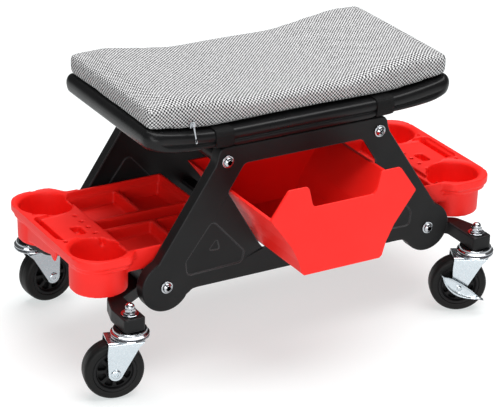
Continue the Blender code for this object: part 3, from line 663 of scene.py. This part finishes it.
def cross_members():
    """Bars and tubes between the plates, seat mounts, bin rails and tray runners."""
    end = PLATE_Y - SHEET - GAP
    for tag, sx in (("left", -1), ("right", 1)):
        bar = circle(sx * UPPER_X, UPPER_Z, 10.0, 48)
        painted("crossbar_upper_" + tag, bar, "Y", -end, end, bevel=0.8)
        x = sx * LOWER_X
        tube = rounded(rect(x - 14, 107.9, x + 14, 130.3), 3.5, 6)
        painted("cross_tube_lower_" + tag, tube, "Y", -end, end, bevel=0.5)
        x = sx * UPPER_X
        mount = rounded(rect(x - 13, -88, x + 13, 88), 4.0, 6)
        painted("seat_mount_" + tag, mount, "Z", UPPER_Z + 10.0 + GAP, PLATE_TOP, bevel=0.8)
        x = sx * 40.0
        rail = rect(x - 8, 139.0, x + 8, 145.6 - GAP)
        painted("bin_rail_" + tag, rail, "Y", -end, end, bevel=0.8, segs=3)
    for tag, sy in (("front", -1), ("back", 1)):
        y = sy * 66.0
        runner = rounded(rect(y - 5.5, 130.6, y + 5.5, 138.6), [1, 1, 3.4, 3.4], 6)
        painted("tray_runner_" + tag, runner, "X", -207.0, 207.0, bevel=0.7)


def beam_outline():
    front = list(reversed(BEAM_INNER)) + BEAM_OUTER
    radii = [8.0, 6.0, 4.0, 5.0, 22.0, 14.0, 8.0]
    return rounded(front + [(x, -y) for x, y in reversed(front)], radii + radii[::-1], 10)


def beams():
    outline = beam_outline()
    for tag, sx in (("right", 1), ("left", -1)):
        obj = prism("caster_beam_" + tag + "_look", outline if sx > 0 else mirror_x(outline), "Z", *BEAM_Z)
        holes = [circle(sx * CASTER_X, sy * CASTER_Y, 6.4, 32) for sy in (-1, 1)]
        combine(obj, [prism("hole", hole, "Z", 80, 110) for hole in holes])
        dress(obj, PAINT, "frame", "caster_beam_" + tag, bevel=1.8, segs=4)


cross_members()
beams()


# ---------------- fasteners
def plate_bolts():
    """Flanged button heads with a hex socket."""
    prof = [(0, -17), (3.0, -17), (3.0, 0), (7.6, 0), (8.0, 0.4), (8.0, 1.2), (7.7, 1.6),
            (6.3, 1.8), (6.2, 2.4)]
    prof += sweep(0, 2.4, 6.2, 3.4, range(8, 64, 8)) + [(3.2, 5.6), (0, 5.6)]
    master = lathe("bolt", prof, n=48)
    combine(master, [prism("hex", circle(0, 0, 3.1, 6), "Z", 1.2, 9)])
    for where, side in (("front", -1), ("back", 1)):
        for level, hx, hz in (("upper", UPPER_X, UPPER_Z), ("lower", LOWER_X, LOWER_Z)):
            for i, (hand, sx) in enumerate((("left", -1), ("right", 1))):
                node = "bolt_%s_%s_%s" % (where, level, hand)
                spin = 0.35 + 0.8 * i + (0.5 if level == "upper" else 0.0)
                place = (placed(sx * hx, side * (PLATE_Y + GAP), hz)
                         @ Matrix.Rotation(-side * math.pi / 2, 4, "X") @ Matrix.Rotation(spin, 4, "Z"))
                dress(copy_of(master, node + "_look"), NUT, "frame", node, place=place, bevel=0.25)
    bpy.data.objects.remove(master, do_unlink=True)


def caster_tops():
    """Fixed race under the beam, and washer, spring washer and cap nut on top of it."""
    z0, z1 = BEAM_Z
    stem = [(0, FORK_TOP + GAP), (20.8, FORK_TOP + GAP), (23.2, 83.2), (24.0, 84.0), (23.9, 84.9),
            (23.0, 85.6), (21.4, 86.0), (20.9, 86.5), (21.2, 87.1), (21.2, 88.6), (20.6, z0 - GAP),
            (6.0, z0 - GAP), (6.0, z1 - 2), (4.2, z1 - 1), (4.2, 116), (0, 116)]
    washer = [(4.6, z1 + 0.2), (10.6, z1 + 0.2), (11.0, z1 + 0.5), (11.0, z1 + 1.6),
              (10.6, z1 + 1.9), (4.6, z1 + 1.9)]
    spring = [(4.6, z1 + 2.0), (8.1, z1 + 2.0), (8.4, z1 + 2.3), (8.4, z1 + 3.9),
              (8.1, z1 + 4.2), (4.6, z1 + 4.2)]
    dome = [(4.5, 115.4), (5.9, 115.4), (5.9, 117.6)]
    dome += sweep(0, 117.6, 5.9, 5.0, range(12, 90, 12)) + [(0, 122.6), (0, 116.4), (4.5, 116.4)]
    for tag, (sx, sy, _) in CASTERS.items():
        place = placed(sx * CASTER_X, sy * CASTER_Y, 0)
        dress(lathe("caster_stem_%s_look" % tag, stem, n=72), CHROME, "frame", "caster_stem_" + tag,
              place=place, bevel=0.15)
        for part, prof in (("washer", washer), ("spring_washer", spring)):
            dress(lathe("caster_%s_%s" % (part, tag), prof, n=48), NUT, "frame", place=place,
                  slot="mat_caster_nut_" + tag)
        # six flats with rounded corners, under the dome
        bm = bmesh.new()
        rows = []
        flat = 7.3 * math.cos(math.radians(30))
        for z, grow in ((z1 + 4.3, 0.15), (z1 + 4.7, 0.9), (115.2, 0.9), (116.0, 0.05)):
            row = []
            for k in range(48):
                a = math.radians(7.5 * k)
                r = min(flat / math.cos(a % (math.pi / 3) - math.pi / 6), flat + grow)
                row.append((r * math.cos(a + 0.2), r * math.sin(a + 0.2), z))
            rows.append(row)
        add_rows(bm, rows, closed_ends=False)
        add_lathe(bm, dome, "Z", 48)
        dress(raw("caster_nut_%s_look" % tag, bm), NUT, "frame", "caster_nut_" + tag, place=place, angle=25)


plate_bolts()
caster_tops()


# ---------------- seat base
def dish(x):
    """Lift of the base and of the cushion's underside towards the ends."""
    t = max(0.0, (abs(x) - DISH_X0) / (DISH_X1 - DISH_X0))
    return DISH_H * t * t * (3.0 - t) / 2.0 if t < 1.0 else DISH_H


def dish_top(x):
    """Lift of the cushion's top towards the ends."""
    t = min(1.0, max(0.0, (abs(x) - 55.0) / 140.0))
    return 16.0 * t * t * (3.0 - 2.0 * t)


def ease(t):
    """Smooth step from nought to one."""
    t = max(0.0, min(1.0, t))
    return t * t * (3 - 2 * t)


H = BASE_Z[1] - BASE_Z[0]
# inset and height of the long sides (two steps) and of the ends (one roll)
LONG = [(9.0, 0.0), (4.4, 0.15), (2.4, 0.8), (1.1, 1.9), (0.7, 3.2), (0.8, H * 0.24),
        (1.3, H * 0.29), (2.3, H * 0.325), (2.6, H * 0.355), (1.9, H * 0.39), (0.8, H * 0.44),
        (0.2, H * 0.52), (0.0, H * 0.64), (0.3, H * 0.76), (1.2, H * 0.87), (2.8, H * 0.955),
        (5.4, H), (12.0, H)]
ROLL = [(10.0, 0.0), (6.2, 0.4), (3.9, 1.4), (2.2, 2.9), (1.1, 4.8), (0.5, H * 0.34),
        (0.25, H * 0.40), (0.1, H * 0.445), (0.0, H * 0.475), (0.0, H * 0.51), (0.05, H * 0.555),
        (0.2, H * 0.62), (0.8, H * 0.72), (1.9, H * 0.82), (3.4, H * 0.91), (5.2, H * 0.975),
        (7.5, H), (12.0, H)]


def seat_base():
    """Dished moulding: one outline of points with their outward normals, skinned in rows."""
    corner = 18.0
    half = []
    for k in range(9):
        a = math.pi / 2 * k / 8
        half.append((-BASE_L + corner * (1 - math.cos(a)), BASE_W - corner * (1 - math.sin(a)),
                     math.cos(a), math.sin(a)))
    mids = [(-BASE_L + corner) + 2 * (BASE_L - corner) * k / 56 for k in range(1, 56)]
    steps = [sx * PAD_X + d for sx in (-1, 1) for d in (-1.5, 1.5)]
    mids = sorted([x for x in mids if abs(abs(x) - PAD_X) > 3] + steps)
    side = [(x, y, -nx, ny) for x, y, nx, ny in half]
    side += [(x, BASE_W, 0.0, 1.0) for x in mids]
    side += [(-x, y, nx, ny) for x, y, nx, ny in reversed(half)]
    rows = []
    for k, (long_side, roll) in enumerate(zip(LONG, ROLL)):
        row = []
        for x, y, nx, ny in side:
            w = ease((BASE_L - 14.0 - abs(x)) / 14.0)
            inset, rise = [p * w + q * (1 - w) for p, q in zip(long_side, roll)]
            z = BASE_Z[0] + rise + dish(x)
            # the middle reaches down to the plates, the ends hang a little deeper
            drop = BASE_Z[0] - PLATE_TOP - GAP if abs(x) <= PAD_X else 0.0
            z -= drop if k < 3 else drop * 0.5 if k == 3 else 0.0
            deep = 3.5 * min(1.0, max(0.0, (abs(x) - STRAP_X - STRAP_W / 2 - 2.0) / 50.0))
            z -= deep * max(0.0, 1 - rise / (H * 0.6))
            row.append((x - nx * inset, y - ny * inset, z))
        rows.append(row + [(px, -py, pz) for px, py, pz in reversed(row)])
    bm = bmesh.new()
    made = add_rows(bm, rows, closed_ends=False)
    n = len(side)
    for row in (made[0], made[-1]):
        for i in range(n - 1):
            bm.faces.new((row[i], row[i + 1], row[2 * n - 2 - i], row[2 * n - 1 - i]))
    obj = raw("seat_base_look", bm)
    dress(obj, MOULD, "frame", "seat_base", clean=False, angle=50)
    refine(obj)


seat_base()


# ---------------- straps
def strap_path(x, grow):
    """Band taut round the base's section at x, from its outer points only."""
    z0, z1 = BASE_Z[0] + dish(x), BASE_Z[1] + dish(x)
    h = z1 - z0
    quarter = [(BASE_W - 7.0, z0), (BASE_W - 2.4, z0 + 0.7), (BASE_W - 0.7, z0 + 3.4),
               (BASE_W, z0 + h * 0.45), (BASE_W, z0 + h * 0.70), (BASE_W - 1.6, z0 + h * 0.90),
               (BASE_W - 4.5, z1 - 0.1), (BASE_W - 9.0, z1)]
    ring = [(-y, z) for y, z in quarter] + [(y, z) for y, z in reversed(quarter)]
    return offset(rounded(ring, 2.5, 3), -grow)


def straps():
    for tag, sx in (("left", -1), ("right", 1)):
        rows = []
        xs = [sx * STRAP_X + STRAP_W * (k / 6 - 0.5) for k in range(7)]
        inner = [strap_path(x, 0.35) for x in xs]
        outer = [strap_path(x, 0.35 + STRAP_T * (0.75 if k in (0, 6) else 1.0)) for k, x in enumerate(xs)]
        for i in range(len(inner[0])):
            row = [(x, ring[i][0], ring[i][1]) for x, ring in zip(xs, inner)]
            row += [(x, ring[i][0], ring[i][1]) for x, ring in zip(reversed(xs), reversed(outer))]
            rows.append(row)
        bm = bmesh.new()
        add_rows(bm, rows, ring=True)
        obj = raw("strap_%s_look" % tag, bm)
        dress(obj, WEB, "frame", "strap_" + tag, clean=False, angle=60)


straps()


# ---------------- cushion
# inset and share of the height, from the underside round the edge to the top
PAD_EDGE = [(8, 0), (2.0, 0.03), (0.3, 0.12), (0, 0.35), (0, 0.72), (0.5, 0.86), (2.0, 0.95),
            (5.0, 0.99), (16, 1.0), (50, 1.0), (85, 1.0)]
PAD_CORNER, PAD_SHRINK, PAD_GROWTH = 9.0, 2.6, 3.4
PAD_FRAMES = 20


def half_width(x, length, width, corner):
    """Half width at x of a rectangle with round corners."""
    d = abs(x) - (length - corner)
    return width if d <= 0 else width - corner + math.sqrt(max(0.0, corner * corner - d * d))


def stations(length, corner, n_mid):
    """Places along the length, close together in the corners."""
    xs = [-length + corner * (1 - math.cos(math.radians(d))) for d in range(0, 91, 15)]
    inner = xs[-1]
    return xs + [inner - 2 * inner * k / n_mid for k in range(1, n_mid)] + [-x for x in reversed(xs)]


def cushion():
    """Boxed pad, blown up a little as cloth, then pressed back onto the base under it."""
    z0, z1 = CUSHION_Z
    rows = []
    length, width = CUSHION_L - PAD_SHRINK, CUSHION_W - PAD_SHRINK
    for x in stations(length, PAD_CORNER, 44):
        w = half_width(x, length, width, PAD_CORNER)
        t = max(0.0, (abs(x) - length + 5.0) / 5.0)
        low = z0 + dish(x) + 0.6 + 1.5 * t * t
        high = z1 - 2.2 + dish_top(x) - 3.0 * t * t
        left = [(-(w - inset), low + (high - low) * k) for inset, k in PAD_EDGE]
        rows.append([(x, y, z) for y, z in left + [(-y, z) for y, z in reversed(left)]])
    bm = bmesh.new()
    add_rows(bm, rows)
    obj = raw("cushion_cover", bm)
    mod = obj.modifiers.new("voxels", "REMESH")
    mod.mode, mod.voxel_size = "VOXEL", 0.0048
    bake_modifiers(obj)
    rest = [v.co.copy() for v in obj.data.vertices]
    cloth = obj.modifiers.new("cloth", "CLOTH")
    s = cloth.settings
    s.quality, s.mass = 6, 0.25
    s.tension_stiffness = s.compression_stiffness = s.shear_stiffness = 18.0
    s.bending_stiffness = 1.2
    s.use_pressure, s.uniform_pressure_force = True, 4.0
    s.effector_weights.gravity = 0.0
    cloth.collision_settings.use_collision = False
    for f in range(1, PAD_FRAMES + 1):
        SCENE.frame_set(f)
    graph = bpy.context.evaluated_depsgraph_get()
    blown = obj.evaluated_get(graph).to_mesh()
    moved = [v.co.copy() for v in blown.vertices]
    obj.modifiers.clear()
    SCENE.frame_set(1)
    cap, side = PAD_GROWTH * MM, (CUSHION_W + 0.3) * MM
    for v, a, b in zip(obj.data.vertices, rest, moved):
        d = b - a
        if d.length > cap:
            d = d.normalized() * cap
        p = a + d
        x = p.x / MM
        floor = (z0 + 0.25 + dish(x)) * MM
        ceiling = (z1 + 0.4 + dish_top(x)) * MM
        p.z = max(floor, min(ceiling, p.z))
        p.y = max(-side, min(side, p.y))
        v.co = p
    dress(obj, CLOTH, "frame", "cushion", clean=False, angle=180)
    smooth = obj.modifiers.new("ease", "SMOOTH")
    smooth.factor, smooth.iterations = 0.5, 2
    refine(obj)


cushion()


# ---------------- zip
ZIP_X, ZIP_Z, PULL_TILT = -158.0, 322.0, -11


def zip_parts():
    """Slider with its bridge, and the pull hanging from it."""
    x, y, z = ZIP_X, -CUSHION_W - 0.8, ZIP_Z + dish(ZIP_X)
    bm = bmesh.new()
    slider = [(x - 4, z - 3.5), (x + 4, z - 3.5), (x + 3.2, z + 3.5), (x - 3.2, z + 3.5)]
    add_prism(bm, rounded(slider, 1.4, 5), "Y", y - 2.6, y)
    add_prism(bm, rounded(rect(x - 1.1, z - 2.6, x + 1.1, z + 2.6), 1.0, 4), "Y", y - 4.4, y - 2.5)
    dress(raw("zip_slider_look", bm), CHROME, "frame", "zip_slider", bevel=0.3)
    outline = rounded([(-1.5, -22), (1.5, -22), (0.8, -12), (1.1, 0), (-1.1, 0), (-0.8, -12)],
                      [1.4, 1.4, 3, 1.0, 1.0, 3], 6)
    tab = prism("zip_pull_look", outline, "Y", -1.1, 0.0)
    combine(tab, [prism("slot", rounded(rect(-0.7, -20.6, 0.7, -15.5), 0.6, 4), "Y", -3, 2)])
    place = placed(x, y - 4.4 - GAP, z - 2) @ tilted(PULL_TILT, "Y")
    dress(tab, CHROME, "zip_pull", "zip_pull", place=place, bevel=0.25)


zip_parts()


# ---------------- bin
def bin_tub():
    """Open tub; its front end stands taller, with round corners and a notch for the hand."""
    body = [(-103, 227.5), (-73, 187), (-62.5, 166), (-57.5, 149), (-54, 145.6), (54, 145.6), (57.5, 149),
            (62.5, 166), (73, 187), (103, 227.5)]
    end_top = [(103, 227.5), (79, 261.5), (51.5, 261.5), (45.5, 238), (41, 233), (-41, 233), (-45.5, 238),
               (-51.5, 261.5), (-79, 261.5), (-103, 227.5)]
    y0, y1 = BIN_Y
    end = rounded(body[1:-1] + end_top, [20, 0, 0, 2, 2, 0, 0, 20, 3, 5, 5, 4, 5, 5, 4, 5, 5, 3], 8)
    obj = prism("bin_look", end, "Y", y0, y0 + BIN_WALL)
    outside = rounded(body, [0, 20, 12, 8, 2, 2, 8, 12, 20, 0], 8)
    combine(obj, [prism("shell", outside, "Y", y0 + BIN_WALL * 0.5, y1)], "UNION")
    hollow = [(-98.8, 229), (-98.8, 227.5), (-69.5, 188), (-59.3, 167), (-54.6, 150.5), (-52.4, 148.6),
              (52.4, 148.6), (54.6, 150.5), (59.3, 167), (69.5, 188), (98.8, 227.5), (98.8, 229)]
    hollow = rounded(hollow, [0, 0, 18, 10, 6, 2, 2, 6, 10, 18, 0, 0], 8)
    combine(obj, [prism("hollow", hollow, "Y", y0 + BIN_WALL, y1 - BIN_WALL)])
    dress(obj, RED, "bin", "bin", bevel=0.9, segs=3, angle=24)


bin_tub()


# ---------------- trays
def head_rect(inset):
    """Outline of the tray's outer end."""
    pts = [(206, -96), (223, -96), (237, -112), (TRAY_END, -112), (TRAY_END, 121), (237, 121),
           (223, 100), (206, 100)]
    return offset(rounded(pts, [0, 8, 16, 34, 36, 16, 8, 0], 14), inset)


def taper(low, high, z0, z1):
    """Solid between two outlines at two heights."""
    bm = bmesh.new()
    add_rows(bm, [[(u, v, z0) for u, v in low], [(u, v, z1) for u, v in high]])
    return raw("taper", bm)


def tray():
    """Right tray: lipped head with two cups, compartments and a tongue under the seat."""
    rim = TRAY_RIM
    obj = prism("tray", head_rect(0.0), "Z", LIP_BOTTOM, rim)
    parts = [prism("part", head_rect(3.5), "Z", BAND_BOTTOM, LIP_BOTTOM + 1)]
    for y, z in CUPS:
        parts.append(taper(circle(CUP_X, y, CUP_R - 0.7, 96), circle(CUP_X, y, CUP_R, 96), z, rim - 5))
    skirt = [(82, 125), (82, 152), (-17, 152), (-17, 142), (-11, 131), (-5.5, 131), (0, 135.5),
             (18, 131.5), (36, 129)]
    parts.append(prism("part", skirt, "X", 288.5, 292.0))
    parts.append(prism("part", rect(281, -40, 294, 56), "Z", 148.0, 154.0))
    parts.append(taper(rect(94.0, -94.5, 240.0, 94.5), rect(88.0, -97.0, 262.0, 97.0),
                       TONGUE_BOTTOM, rim))
    combine(obj, parts, "UNION")
    cuts = []
    above = rim + 4  # cuts run out past the rim
    for y, z in CUPS:
        for low_r, high_r, z0, z1 in ((CUP_R - 5.0, CUP_R - 1.6, z + 3, above),
                                      (CUP_R - 1.9, CUP_R + 3.2, rim - 3.5, rim + 1.0)):
            cuts.append(taper(circle(CUP_X, y, low_r, 96), circle(CUP_X, y, high_r, 96), z0, z1))
    deck = [(226, -93.0), (232, -93.0), (243, -34.0), (295, -27.0), (295, 44.0), (243, 49.0),
            (232, 94.0), (226, 94.0)]
    cuts.append(prism("cut", rounded(deck, [0, 4, 12, 6, 6, 12, 4, 0], 8), "Z", DECK, above))
    cuts.append(prism("cut", rounded(rect(283.5, -30, 292, 46), 4.0, 8), "Z", 151.0, above))
    cuts.append(prism("cut", rounded(rect(249, -16, 262, 8), 3.0, 8), "Z", 153.5, rim))
    for hy in (-39, -20, -1, 18, 37):
        cuts.append(prism("cut", circle(240.0, hy, 2.8, 24), "Z", 153.5, rim))
    for hy in (-36.5, 54.0):
        oval = [(288.0 + 2.5 * u, hy + 3.6 * v) for u, v in circle(0, 0, 1, 24)]
        cuts.append(prism("cut", oval, "Z", 155.0, above))
    for x0, x1, y0, y1 in COMPARTMENTS:
        top = rounded(rect(x0, y0, x1, y1), 3.5, 6)
        cuts.append(taper(offset(top, 2.5), top, TONGUE_BOTTOM + 3, above))
    cuts.append(prism("cut", rect(91, -93.4, 226, 93.4), "Z", RIB_TOP, above))
    combine(obj, cuts)
    mod = obj.modifiers.new("voxels", "REMESH")
    mod.mode, mod.voxel_size, mod.use_smooth_shade = "VOXEL", 0.0014, True
    soft = obj.modifiers.new("soften", "SMOOTH")
    soft.factor, soft.iterations = 0.5, 4
    bake_modifiers(obj)
    return obj


def trays():
    right = tray()
    left = copy_of(right, "tray_left_look")
    right.name = "tray_right_look"
    left.data.transform(Matrix.Scale(-1, 4, Vector((1, 0, 0))))
    left.data.flip_normals()
    dress(right, RED, "tray_right", "tray_right", clean=False, angle=180)
    dress(left, RED, "tray_left", "tray_left", clean=False, angle=180)


trays()


# ---------------- casters
def tyre_profile():
    w = WHEEL_HALF_W
    right = [(27.0, w - 0.9), (27.4, w - 0.3), (28.2, w), (32.6, w)]
    right += [(32.6 + 4.7 * math.sin(math.radians(d)), w - 5.4 + 5.4 * math.cos(math.radians(d)))
              for d in range(10, 91, 10)]
    right += [(WHEEL_R, w - 8.5), (WHEEL_R, 0.6), (WHEEL_R - 0.12, 0.0)]
    return right + [(r, -h) for r, h in reversed(right[:-1])]


def hub_mesh():
    """Turned hub with a pocket between each two of its eight ribs, on both faces."""
    w = WHEEL_HALF_W
    half = [(4.4, w + 1.5), (7.9, w + 1.5), (8.5, w + 0.9), (9.3, w - 3.0), (10.2, w - 3.9),
            (21.4, w - 4.4), (22.2, w - 3.8), (22.9, w - 1.2), (23.6, w - 0.5), (24.4, w - 0.3),
            (26.6, w - 0.3), (27.0, w - 0.8)]
    prof = half + [(r, -h) for r, h in reversed(half)]
    hub = lathe("hub", prof, "Y", n=96)
    bm = bmesh.new()
    for side in (-1, 1):
        for k in range(8):
            a = 2 * math.pi * (k + 0.5) / 8
            pts = []
            for r, da in ((11.5, -0.22), (21.2, -0.29), (21.4, 0.0), (21.2, 0.29), (11.5, 0.22)):
                pts.append((r * math.cos(a + da), r * math.sin(a + da)))
            lo, hi = sorted((side * 1.6, side * 14.0))
            add_prism(bm, rounded(pts, [1.5, 2.2, 0, 2.2, 1.5], 5), "Y", lo, hi)
    combine(hub, [raw("pockets", bm)])
    return hub


def fork_mesh():
    """Pressed U-section with tapered legs; local +X trails."""
    i, o = FORK_IN, FORK_OUT
    section = rounded([(-o, 24), (-o, 79.0), (o, 79.0), (o, 24), (i, 24), (i, 76.6), (-i, 76.6), (-i, 24)],
                      [0, 3.6, 3.6, 0, 0, 1.4, 1.4, 0], 8)
    obj = prism("fork", section, "X", -15.0, 31.5)
    leg = [(-15.0, 82.0), (30.0, 82.0), (30.0, 76.0), (31.0, 64.0), (TRAIL + 9.0, 37.5)]
    leg += sweep(TRAIL, 37.5, 9.0, 9.0, range(-15, -170, -15))
    leg += [(-8.0, 70.0), (-15.0, 77.0)]
    leg = rounded(leg, [0, 0, 3, 20, 0] + [0] * 11 + [8, 3], 5)
    combine(obj, [prism("side", leg, "Y", -30, 30)], "INTERSECT")
    combine(obj, [prism("hole", circle(TRAIL, WHEEL_R, 3.9, 32), "Y", -30, 30)])
    return obj


def pedal_mesh():
    """Leaf plate with a raised rim and boss, its narrow tips bent up, curled out and twisted."""
    rows, n_len, n_w = [], 49, 13
    length, thick = 35.5, 1.5
    for k in range(n_len):
        t = -1 + 2 * k / (n_len - 1)
        hw = 7.0 * max(0.0, 1 - (abs(t) / 0.78) ** 2) ** 0.9 + 1.8 * (1 - 0.9 * abs(t) ** 5)
        out = 7.5 * max(0.0, abs(t) - 0.42) ** 1.3
        bow = 4.5 * t * t
        row = []
        for i in range(n_w):
            s = -1 + 2 * i / (n_w - 1)
            across = s * hw * (1.2 if s < 0 else 0.8)
            reach = math.hypot(length * t, across)
            lift = 1.5 * ease((abs(s) - 0.55) / 0.35) * (1 - ease((abs(t) - 0.7) / 0.25))
            boss = 1.6 * (1 - ease((reach - 2.2) / 1.6))
            hollow = -0.7 * (1 - ease((reach - 4.4) / 2.0)) * ease((reach - 3.2) / 1.0)
            twist = 2.6 * s * ease((abs(t) - 0.55) / 0.35) * (1 if t > 0 else -1)
            row.append((length * t + 1.0, out + lift + boss + hollow + twist, bow + across))
        rows.append(row)
    bm = bmesh.new()
    top = [[bm.verts.new((x, y + thick, z)) for x, y, z in row] for row in rows]
    low = [[bm.verts.new((x, y, z)) for x, y, z in row] for row in rows]
    for a, b in zip(range(n_len - 1), range(1, n_len)):
        for i in range(n_w - 1):
            bm.faces.new((top[a][i], top[a][i + 1], top[b][i + 1], top[b][i]))
            bm.faces.new((low[a][i], low[a][i + 1], low[b][i + 1], low[b][i]))
        for i in (0, n_w - 1):
            bm.faces.new((top[a][i], top[b][i], low[b][i], low[a][i]))
    for a in (0, n_len - 1):
        for i in range(n_w - 1):
            bm.faces.new((top[a][i], top[a][i + 1], low[a][i + 1], low[a][i]))
    return raw("pedal", bm)


PEDAL_TILT = -33


def casters():
    """Fork with its race, seal and axle, hub and tyre; the front right one has the brake pedal."""
    e = FORK_OUT
    race = [(0, 77.8), (17.5, 77.8), (20.0, 78.2), (22.2, 78.9), (23.6, 79.8), (24.0, 80.8),
            (23.7, 81.7), (22.4, FORK_TOP), (15.0, FORK_TOP), (0, FORK_TOP)]
    seal = [(0, FORK_TOP - 0.2), (20.6, FORK_TOP - 0.2), (20.6, FORK_TOP + 0.25), (0, FORK_TOP + 0.25)]
    head = [(6.2, e), (6.2, e + 0.5), (5.6, e + 1.3), (4.4, e + 1.9), (2.6, e + 2.2),
            (2.2, e + 1.5), (0, e + 1.4)]
    rivet = head[::-1] + [(3.7, e), (3.7, -e)] + [(r, -h) for r, h in head]
    fork_m, hub_m = fork_mesh(), hub_mesh()
    tyre_m = lathe("tyre", tyre_profile(), "Y", n=120)
    for tag, (sx, sy, heading) in CASTERS.items():
        place = placed(sx * CASTER_X, sy * CASTER_Y, 0) @ tilted(heading, "Z")
        axle = place @ placed(TRAIL, 0, WHEEL_R)
        body, wheel = "fork_" + tag, "wheel_" + tag
        dress(copy_of(fork_m, "fork_%s_look" % tag), ZINC, body, "fork_" + tag, place=place,
              bevel=0.45, angle=30)
        dress(lathe("fork_race_" + tag, race, n=72), CHROME, body, place=place, slot="mat_fork_" + tag)
        dress(lathe("fork_seal_" + tag, seal, n=48), SEAL, body, place=place, slot="mat_fork_" + tag)
        dress(lathe("axle_%s_look" % tag, rivet, "Y", n=40), ZINC, body, "axle_" + tag, place=axle, angle=40)
        dress(copy_of(hub_m, "hub_%s_look" % tag), HUB, wheel, "hub_" + tag, place=axle,
              bevel=0.5, angle=32)
        dress(copy_of(tyre_m, "tyre_%s_look" % tag), RUBBER, wheel, "tyre_" + tag, place=axle, angle=40)
        if tag == "fr":
            face = FORK_OUT + GAP * 2 + 2.0
            rock = axle @ tilted(PEDAL_TILT, "Y") @ placed(0, face, 0)
            refine(dress(pedal_mesh(), ZINC, "brake_pedal", "brake_pedal", place=rock, angle=50, clean=False))
    for master in (fork_m, hub_m, tyre_m):
        bpy.data.objects.remove(master, do_unlink=True)


casters()


# ---------------- studio
FLOOR_GLOW, ROOM_LIGHT = 0.60, 0.15
# name, place, aimed at, width and depth, power
LAMPS = [("key_top", (0.3, 0.1, 2.4), (0, 0, 0.1), (2.8, 2.4), 104.0),
         ("left_front", (-2.3, -2.2, 1.5), (0, 0, 0.15), (1.8, 1.6), 26.0),
         ("front_low", (-1.1, -2.7, 0.42), (0, 0, 0.12), (2.4, 0.6), 24.0)]


def studio():
    k = Look("pale_floor", specular=0.2)
    k.color(k.mix(k.noise(1.5, 2.0), (0.42, 0.42, 0.42), (0.44, 0.44, 0.44)))
    k.rough(0.65)
    k.bsdf.inputs["Emission Color"].default_value = (0.95, 1.0, 1.0, 1.0)
    k.bsdf.inputs["Emission Strength"].default_value = FLOOR_GLOW
    bm = bmesh.new()
    bmesh.ops.create_grid(bm, x_segments=2, y_segments=2, size=9000.0)
    floor = raw("floor", bm)
    floor.data.materials.append(k.mat)
    floor.location.z = -0.0002

    world = bpy.data.worlds.new("studio")
    world.use_nodes = True
    back = world.node_tree.nodes["Background"]
    back.inputs["Color"].default_value = (1.0, 1.0, 1.0, 1.0)
    back.inputs["Strength"].default_value = ROOM_LIGHT
    SCENE.world = world

    for name, where, aim, (width, depth), watts in LAMPS:
        data = bpy.data.lights.new(name, "AREA")
        data.shape, data.size, data.size_y = "RECTANGLE", width, depth
        data.energy = watts
        obj = bpy.data.objects.new(name, data)
        SCENE.collection.objects.link(obj)
        obj.location = where
        obj.rotation_euler = (Vector(aim) - Vector(where)).to_track_quat("-Z", "Y").to_euler()
    SCENE.view_settings.view_transform = "Standard"
    SCENE.view_settings.look = "None"


studio()
